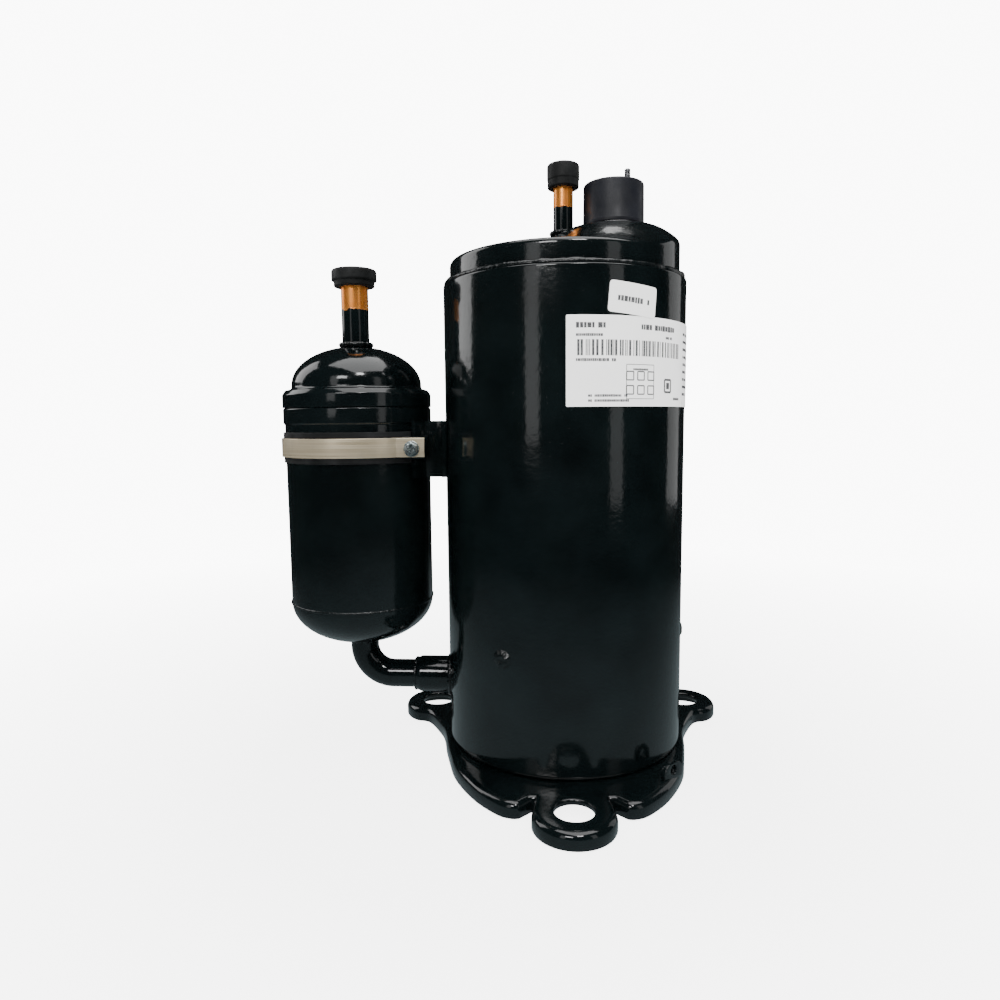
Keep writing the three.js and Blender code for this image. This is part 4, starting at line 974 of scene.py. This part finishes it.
def tank_body():
    low, high = bottom("accumulator_body"), top("accumulator_body")
    bore = TANK_R - 2 * MM
    collar_low = bottom("accumulator_top_cap")
    swage = TANK_R + 0.75 * MM
    corners = [
        (bore, low, 0.3 * MM),
        (TANK_R, low, 0.6 * MM),
        (TANK_R, collar_low - 8.4 * MM, 0.8 * MM),
        (swage, collar_low - 7.6 * MM, 0.8 * MM),
        (swage, collar_low - 0.8 * MM, 0.7 * MM),
        (TANK_R, collar_low - 0.1 * MM, 0.2 * MM),
        (TANK_R, high, 0.3 * MM),
        (bore, high, 0.3 * MM),
    ]
    painted("tank_wall", turned(corners, 160), "accumulator_body", at=TANK)


def tank_bottom():
    low = bottom("accumulator_bottom_cap")
    seam = bottom("accumulator_body") - GAP
    lip = top("accumulator_bottom_cap")
    hole = PIPE_R + GAP
    spigot = TANK_R - 2.3 * MM
    bore = TANK_R - 4 * MM
    corners = arc(hole, TANK_R, seam, low, 26)
    corners += [(spigot, seam, 0.2 * MM), (spigot, lip, 0.2 * MM), (bore, lip, 0.2 * MM)]
    corners += arc(hole, bore, seam, low + 2 * MM)[::-1]
    painted("tank_bowl", turned(corners, 160), "accumulator_bottom_cap", at=TANK)
    welded("tank_weld", weld_ring(TANK_R - 0.35 * MM, seam + 0.15 * MM, 0.75 * MM, 12.0, 400), TANK)
    welded("pipe_braze", weld_ring(PIPE_R + 0.7 * MM, low + 0.5 * MM, 1.3 * MM, 2.0), TANK)


# ---------------------------------------------------------------- suction elbow


def suction_elbow():
    low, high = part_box("suction_pipe")
    bend = 15.5 * MM
    centre = Vector((TANK.x + bend, TANK.y, PORT_Z + bend))
    path = [Vector((TANK.x, TANK.y, z)) for z in (high.z, PORT_Z + bend + 3 * MM)]
    for k in range(33):
        angle = math.pi / 2 * k / 32
        path.append(centre + Vector((-bend * math.cos(angle), 0, -bend * math.sin(angle))))
    path += [Vector((x, TANK.y, PORT_Z)) for x in (centre.x + 4 * MM, high.x)]
    pipe = swept(path, circle(PIPE_R, 56), Vector((0, 1, 0)))
    painted("elbow", pipe, "suction_pipe", at=(0, 0, 0))
    low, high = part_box("suction_collar")
    size = (high.y - low.y) / 2
    length = high.x - low.x
    corners = [
        (PIPE_R + GAP, 0, 0.4 * MM),
        (size - 1.1 * MM, 0, 1.4 * MM),
        (size, 2.6 * MM, 1.6 * MM),
        (size, length, 0.4 * MM),
        (PIPE_R + GAP, length, 0.2 * MM),
    ]
    lying = Matrix.Rotation(math.pi / 2, 4, "Y")
    mouth = (low.x, TANK.y, PORT_Z)
    painted("port_collar", shifted(turned(corners, 96), mouth, lying), "suction_collar", at=(0, 0, 0))
    bead = weld_ring(PIPE_R + 0.4 * MM, 0, 1.0 * MM, 7.0)
    welded("collar_braze", shifted(bead, mouth, lying), (0, 0, 0))
    port_weld()


def port_weld():
    """The bead where the collar meets the casing's round wall."""
    size = (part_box("suction_collar")[1].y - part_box("suction_collar")[0].y) / 2
    bm = bmesh.new()
    rings = []
    count = 160
    for k in range(count):
        angle = TURN * k / count
        y, z = size * math.cos(angle), size * math.sin(angle)
        x = -math.sqrt(SHELL_R**2 - y**2)
        slow = noise.noise(Vector((3 * math.cos(angle), 3 * math.sin(angle), 4)))
        thick = 1.5 * MM * (0.9 + 0.3 * slow + 0.12 * abs(math.sin(14 * angle)))
        out = Vector((0, math.cos(angle), math.sin(angle)))
        along = Vector((-1, 0, 0))
        centre = Vector((x, y, z + PORT_Z))
        rings.append([bm.verts.new(centre + out * u * thick + along * v * thick) for u, v in circle(1, 14)])
    skin(bm, rings, True)
    welded("port_weld", bm)


# ---------------------------------------------------------------- band, liner and screw

BAND_END = 42
BAND_THICK = 0.7 * MM
EAR_REACH = 38.6 * MM


def tank_band():
    low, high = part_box("accumulator_band")
    reach = TANK.x - low.x - BAND_THICK / 2
    ear = polar(reach, BAND_END)
    outer_x = high.x - TANK.x
    corner_x = outer_x - BAND_THICK / 2
    rear = -ear.y
    front_ear = [(EAR_REACH, ear.y), (EAR_REACH - 4.5 * MM, ear.y), (EAR_REACH - 9.5 * MM, ear.y)]
    steps = 110
    first, last = BAND_END, -180 - BAND_END
    wrap = [polar(reach, first + (last - first) * k / steps) for k in range(steps + 1)]
    rear_ear = [(29 * MM, rear), (corner_x - 1.2 * MM, rear), (corner_x - 0.35 * MM, rear - 0.35 * MM)]
    hook = [(corner_x, rear - 1.2 * MM), (corner_x, rear - 7.2 * MM)]
    ends = [[Vector((x, y, 0)) for x, y in end] for end in (front_ear, rear_ear + hook)]
    path = ends[0] + wrap + ends[1]
    strip = swept(path, oblong(BAND_THICK, low.z, high.z, 0.25 * MM, 4), Vector((0, 0, 1)))
    piece("band_strip", strip, rolled_strip(), "band_steel", "casing", "accumulator_band", at=TANK)


def tank_liner():
    node = "band_liner"
    bore = TANK_R + 0.05 * MM
    strip = sleeve(bore, radius(node), bottom(node), top(node), 0.1 * MM, 0.3 * MM, 160)
    piece("liner_strip", strip, RUBBER, "rubber", "casing", node, at=TANK)


def band_screw():
    """A hexagon screw with a cross recess on a plain washer."""
    low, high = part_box("band_screw")
    length = high.y - low.y
    face = length - 3 * MM
    bore, size, thick = 1.9 * MM, (high.x - low.x) / 2, 0.7 * MM
    washer = [(bore, face, 0), (size, face, 0.2 * MM)]
    washer += [(size, face + thick, 0.3 * MM), (bore, face + thick, 0)]
    slots = [bmesh.new(), bmesh.new()]
    for cutter, wide, deep in zip(slots, (0.45 * MM, 1.7 * MM), (1.7 * MM, 0.45 * MM)):
        bmesh.ops.create_cube(cutter, size=2)
        bmesh.ops.scale(cutter, vec=(wide, deep, 1 * MM), verts=cutter.verts)
        shifted(cutter, (0, 0, length))
    head = carve(post(3.3 * MM, face + 0.6 * MM, length, 6, 4, high_ease=0.5 * MM), *slots)
    shank = post(2 * MM, 0, face, low_ease=0.3 * MM)
    whole = joined(shank, turned(washer, 64), head)
    lying = Matrix.Rotation(math.pi / 2, 4, "X")
    spot = ((low.x + high.x) / 2, high.y, (low.z + high.z) / 2)
    piece("hex_screw", shifted(whole, spot, lying), ZINC, "zinc", "casing", "band_screw", smooth=28)


# ---------------------------------------------------------------- labels

FILM = 0.25 * MM  # thickness of a sticker
INK = 0.05 * MM
NAMEPLATE_SWEEP = 92
CAPACITY_SIZE = (24 * MM, 13 * MM)
CAPACITY_AZIMUTH = 29
CAPACITY_TILT = -5


def sheet_on_shell(reach, thick, outline, columns=40):
    """A sticker's mesh: its outline in (azimuth, z), bent round the casing and cut into columns."""
    bm = bmesh.new()
    flat = [bm.verts.new((azimuth, z, 0)) for azimuth, z in outline]
    bm.faces.new(flat)
    low = min(azimuth for azimuth, _ in outline)
    high = max(azimuth for azimuth, _ in outline)
    for k in range(1, columns):
        cut = (low + (high - low) * k / columns, 0, 0)
        everything = bm.verts[:] + bm.edges[:] + bm.faces[:]
        bmesh.ops.bisect_plane(bm, geom=everything, plane_co=cut, plane_no=(1, 0, 0))
    made = bmesh.ops.extrude_face_region(bm, geom=bm.faces[:])
    for element in made["geom"]:
        if isinstance(element, bmesh.types.BMVert):
            element.co.z = thick
    for vertex in bm.verts:
        vertex.co = polar(reach + vertex.co.z, vertex.co.x, vertex.co.y)
    return bm


def tilted(azimuth, z, wide, high, tilt, reach):
    """The outline of a round-cornered sticker about its middle, tilted in its own plane."""
    turn = Matrix.Rotation(math.radians(tilt), 2)
    points = [turn @ p for p in oblong(wide, -high / 2, high / 2, 1.6 * MM, 5)]
    return [(azimuth + math.degrees(p.x / reach), z + p.y) for p in points]


def label_marks(reach, boxes, tilt_about=None):
    """Printed marks as thin raised patches: boxes are (azimuth, z, wide, high) about their middles."""
    sheets = []
    for azimuth, z, wide, high in boxes:
        half = math.degrees(wide / 2 / reach)
        outline = [(azimuth - half, z - high / 2), (azimuth + half, z - high / 2)]
        outline += [(azimuth + half, z + high / 2), (azimuth - half, z + high / 2)]
        if tilt_about:
            centre_azimuth, centre_z, tilt = tilt_about
            turn = Matrix.Rotation(math.radians(tilt), 2)
            moved = []
            for a, b in outline:
                p = turn @ Vector((math.radians(a - centre_azimuth) * reach, b - centre_z))
                moved.append((centre_azimuth + math.degrees(p.x / reach), centre_z + p.y))
            outline = moved
        sheets.append(sheet_on_shell(reach, INK, outline, max(1, int(2 * half))))
    return joined(*sheets)


def greeked(dice, start, z, length, high, reach):
    """A line of small blocks that stands for a line of print."""
    boxes = []
    x = 0.0
    while x < length:
        wide = high * dice.uniform(0.35, 0.8)
        if dice.random() < 0.9:
            azimuth = start + math.degrees((x + wide / 2) / reach)
            boxes.append((azimuth, z, wide, high * dice.uniform(0.82, 1.0)))
        x += wide + high * 0.15
    return boxes


def frame_lines(azimuth, z, wide, high, line, reach):
    """The four sides of a printed rectangle."""
    across = math.degrees(wide / 2 / reach)
    return [
        (azimuth, z + high / 2, wide, line),
        (azimuth, z - high / 2, wide, line),
        (azimuth - across, z, line, high),
        (azimuth + across, z, line, high),
    ]


def labels():
    film, ink = label_film(), thermal_ink()
    low, high = bottom("nameplate_label"), top("nameplate_label")
    reach = SHELL_R + 0.1 * MM
    sweep, ease = NAMEPLATE_SWEEP, 0.4
    outline = [(ease, low), (sweep - ease, low), (sweep, low + 0.4 * MM), (sweep, high - 0.4 * MM)]
    outline += [(sweep - ease, high), (ease, high), (0, high - 0.4 * MM), (0, low + 0.4 * MM)]
    sheet = sheet_on_shell(reach, FILM, outline, sweep)
    piece("nameplate_film", sheet, film, "label", "casing", "nameplate_label", at=SHELL, smooth=25)

    dice = random.Random(11)
    face = reach + FILM
    boxes = []
    lines = [(4, 4.2, 13, 2.4), (33, 4.4, 24, 2.4), (4, 8.2, 11, 1.2), (48, 8.2, 5, 1.2), (4, 18.5, 17, 1.3)]
    for start, drop, length, tall in lines:
        boxes += greeked(dice, start, high - drop * MM, length * MM, tall * MM, face)
    azimuth = 4.5
    while azimuth < 60:
        wide = dice.choice((0.35, 0.35, 0.7, 1.0)) * MM
        step = math.degrees(wide / face)
        boxes.append((azimuth + step / 2, high - 13.4 * MM, wide, 6.6 * MM))
        azimuth += step + math.degrees(dice.choice((0.4, 0.4, 0.8, 1.2)) * MM / face)
    boxes += frame_lines(33, low + 10.5 * MM, 15 * MM, 14.5 * MM, 0.25 * MM, face)
    cell = 3.6 * MM
    for row in range(2):
        for column in range(3):
            spot = (27.5 + 5.5 * column, low + (7 + 6 * row) * MM)
            boxes += frame_lines(*spot, cell, cell, 0.5 * MM, face)
    boxes += greeked(dice, 29, low + 15.7 * MM, 8 * MM, 0.9 * MM, face)
    boxes += frame_lines(50, low + 9 * MM, 5 * MM, 5.4 * MM, 0.9 * MM, face)
    boxes += [(50, low + 9 * MM, 2.4 * MM, 2.8 * MM)]
    for row in range(2):
        boxes += greeked(dice, 9, low + (4.6 - 2.1 * row) * MM, 18 * MM, 1.1 * MM, face)
    boxes += greeked(dice, 55, low + 3.4 * MM, 6 * MM, 1.2 * MM, face)
    for row in range(9):
        boxes += greeked(dice, 66, high - (5 + 3.4 * row) * MM, dice.uniform(7, 20) * MM, 1.3 * MM, face)
    piece("nameplate_print", label_marks(face, boxes), ink, "label", "casing", at=SHELL, smooth=25)

    azimuth, tilt, level = CAPACITY_AZIMUTH, CAPACITY_TILT, middle("capacity_label").z
    reach = face + INK
    sheet = sheet_on_shell(reach, FILM, tilted(azimuth, level, *CAPACITY_SIZE, tilt, reach), 24)
    piece("capacity_film", sheet, film, "label", "casing", "capacity_label", at=SHELL, smooth=25)
    face = reach + FILM
    boxes = greeked(dice, azimuth - 7.6, level - 0.4 * MM, 15.5 * MM, 2.5 * MM, face)
    marks = label_marks(face, boxes, (azimuth, level, tilt))
    piece("capacity_print", marks, ink, "label", "casing", at=SHELL, smooth=25)


# ---------------------------------------------------------------- pieces refined from their CAD nodes


def refined(node, material, slot, edge=0.25 * MM):
    """A copy of a CAD node with its flats merged, its edges eased and its rounds smooth."""
    bm = bmesh.new()
    bm.from_mesh(frame["nodes"][node].data)
    bmesh.ops.remove_doubles(bm, verts=bm.verts, dist=1e-6)
    bmesh.ops.dissolve_limit(bm, angle_limit=math.radians(1.0), verts=bm.verts, edges=bm.edges)
    bmesh.ops.recalc_face_normals(bm, faces=bm.faces)
    eased(bm, sharp_edges(bm, 38), edge, 2)
    body = next(name for name, members in frame["record"]["behaviour"]["bodies"].items() if node in members)
    piece(node + "_finish", bm, material, slot, body, node, smooth=34)


def inner_pieces():
    iron, sheet, wire = grey_iron(), stacked_sheet(), enamelled_wire()
    aluminium, glass, sleeve, pin = cast_aluminium(), fused_glass(), woven_sleeve(), copper()
    pressed = machined_steel("pressed_steel", (0.42, 0.43, 0.44), (0.26, 0.27, 0.28))
    groups = [
        (BLACK, "black_paint", ["accumulator_bracket"]),
        (iron, "cast_iron", ["pump_cylinder", "upper_bearing", "lower_bearing"]),
        (sheet, "lamination", ["stator_core", "rotor_core"]),
        (wire, "magnet_wire", ["stator_winding"]),
        (aluminium, "aluminium", ["rotor_cage"]),
        (glass, "glass", ["terminal_glass_%d" % k for k in (1, 2, 3)]),
        (sleeve, "lead_jacket", ["lead_wire_%d" % k for k in (1, 2, 3)]),
        (pin, "copper", ["terminal_pin_%d" % k for k in (1, 2, 3)]),
        (COVER_PLASTIC, "dark_plastic", ["connector_block"]),
        (pressed, "steel", ["discharge_muffler", "accumulator_strainer"]),
        (pressed, "steel", ["accumulator_support_plate", "terminal_body"]),
        (STEEL, "steel", ["accumulator_standpipe", "crankshaft", "oil_paddle", "rolling_piston", "vane"]),
        (STEEL, "steel", ["vane_spring", "discharge_valve", "valve_stop", "valve_rivet"]),
        (STEEL, "steel", ["lower_balance_weight", "upper_balance_weight"]),
        (STEEL, "steel", ["pump_bolt_%d" % k for k in range(1, 6)]),
    ]
    fine = {"oil_paddle", "vane_spring", "discharge_valve", "lead_wire_1", "lead_wire_2", "lead_wire_3"}
    for material, slot, nodes in groups:
        for node in nodes:
            refined(node, material, slot, 0.05 * MM if node in fine else 0.25 * MM)


# ---------------------------------------------------------------- camera, floor and light


def camera():
    """Standing in front, a little above the casing's middle, close enough for strong perspective."""
    yaw, pitch, roll = -0.068, 0.1095, -0.0099
    ahead = Vector((math.sin(yaw) * math.cos(pitch), math.cos(yaw) * math.cos(pitch), -math.sin(pitch)))
    level = Vector((math.cos(yaw), -math.sin(yaw), 0))
    upright = level.cross(ahead)
    right = level * math.cos(roll) + upright * math.sin(roll)
    up = upright * math.cos(roll) - level * math.sin(roll)
    data = bpy.data.cameras.new("camera")
    data.lens = 26.16
    data.sensor_width = 36
    data.clip_start = 0.01
    obj = placed("camera", data)
    place = SHELL + Vector((-7.15, -369.0, 169.0)) * MM
    obj.matrix_world = Matrix.Translation(place) @ Matrix((right, up, -ahead)).transposed().to_4x4()
    bpy.context.scene.camera = obj


def floor():
    mesh = mesh_of("floor", post(4.0, -10 * MM, -0.4 * MM, 96))
    mesh.materials.append(pale_floor())
    placed("floor", mesh)


def soft_light(name, place, target, size, power):
    data = bpy.data.lights.new(name, "AREA")
    data.shape = "RECTANGLE"
    data.size, data.size_y = size
    data.energy = power
    obj = placed(name, data)
    obj.location = place
    obj.rotation_euler = (Vector(target) - Vector(place)).to_track_quat("-Z", "Y").to_euler()


def world():
    """A white room to the camera, a pale one for fill and a dim one in reflections."""
    made = bpy.data.worlds.new("studio")
    made.use_nodes = True
    nodes, links = made.node_tree.nodes, made.node_tree.links
    path = nodes.new("ShaderNodeLightPath")
    shown = nodes["Background"].outputs["Background"]
    nodes["Background"].inputs["Color"].default_value = (1, 1, 1, 1)
    nodes["Background"].inputs["Strength"].default_value = 1.7
    for ray, colour, strength in (
        ("Is Glossy Ray", (0.85, 0.97, 1.0, 1), 0.018),
        ("Is Camera Ray", (1, 1, 1, 1), ROOM_WHITE),
    ):
        other = nodes.new("ShaderNodeBackground")
        other.inputs["Color"].default_value = colour
        other.inputs["Strength"].default_value = strength
        mix = nodes.new("ShaderNodeMixShader")
        links.new(path.outputs[ray], mix.inputs["Fac"])
        links.new(shown, mix.inputs[1])
        links.new(other.outputs["Background"], mix.inputs[2])
        shown = mix.outputs["Shader"]
    links.new(shown, nodes["World Output"].inputs["Surface"])
    bpy.context.scene.world = made


camera()
main_shell()
top_cap()
rim_weld()
for number, weld_azimuth in enumerate((-29, 91, 211), start=1):
    plug_weld("plug_weld_%d" % number, weld_azimuth, PLUG_WELD_Z)
bottom_cap()
base_plate()
stubs()
terminal_cover()
terminal_stud()
tank_top()
tank_body()
tank_bottom()
suction_elbow()
tank_band()
tank_liner()
band_screw()
labels()
inner_pieces()
floor()
world()
soft_light("overhead", (0.1, -0.1, 1.3), (0, 0, 0.1), (1.2, 1.2), 14)
soft_light("left_window", (-1.1, 0.35, 0.75), (0, 0, 0.2), (0.6, 0.9), 4)
soft_light("front_left", (-0.62, -1.15, 0.55), (0, 0, 0.2), (0.3, 0.8), 0.8)
soft_light("back_right", (1.0, 0.6, 0.35), (0, 0, 0.15), (0.5, 1.0), 1.0)
soft_light("right_strip", (0.85, -0.75, 0.35), (0, 0, 0.15), (0.25, 0.9), 0.5)
soft_light("front_fill", (-0.35, -1.3, 0.9), (0, 0, 0.15), (0.4, 0.3), 5)
soft_light("front_spot", (0.3, -0.95, 1.15), (0, 0, 0.2), (0.25, 0.2), 4)
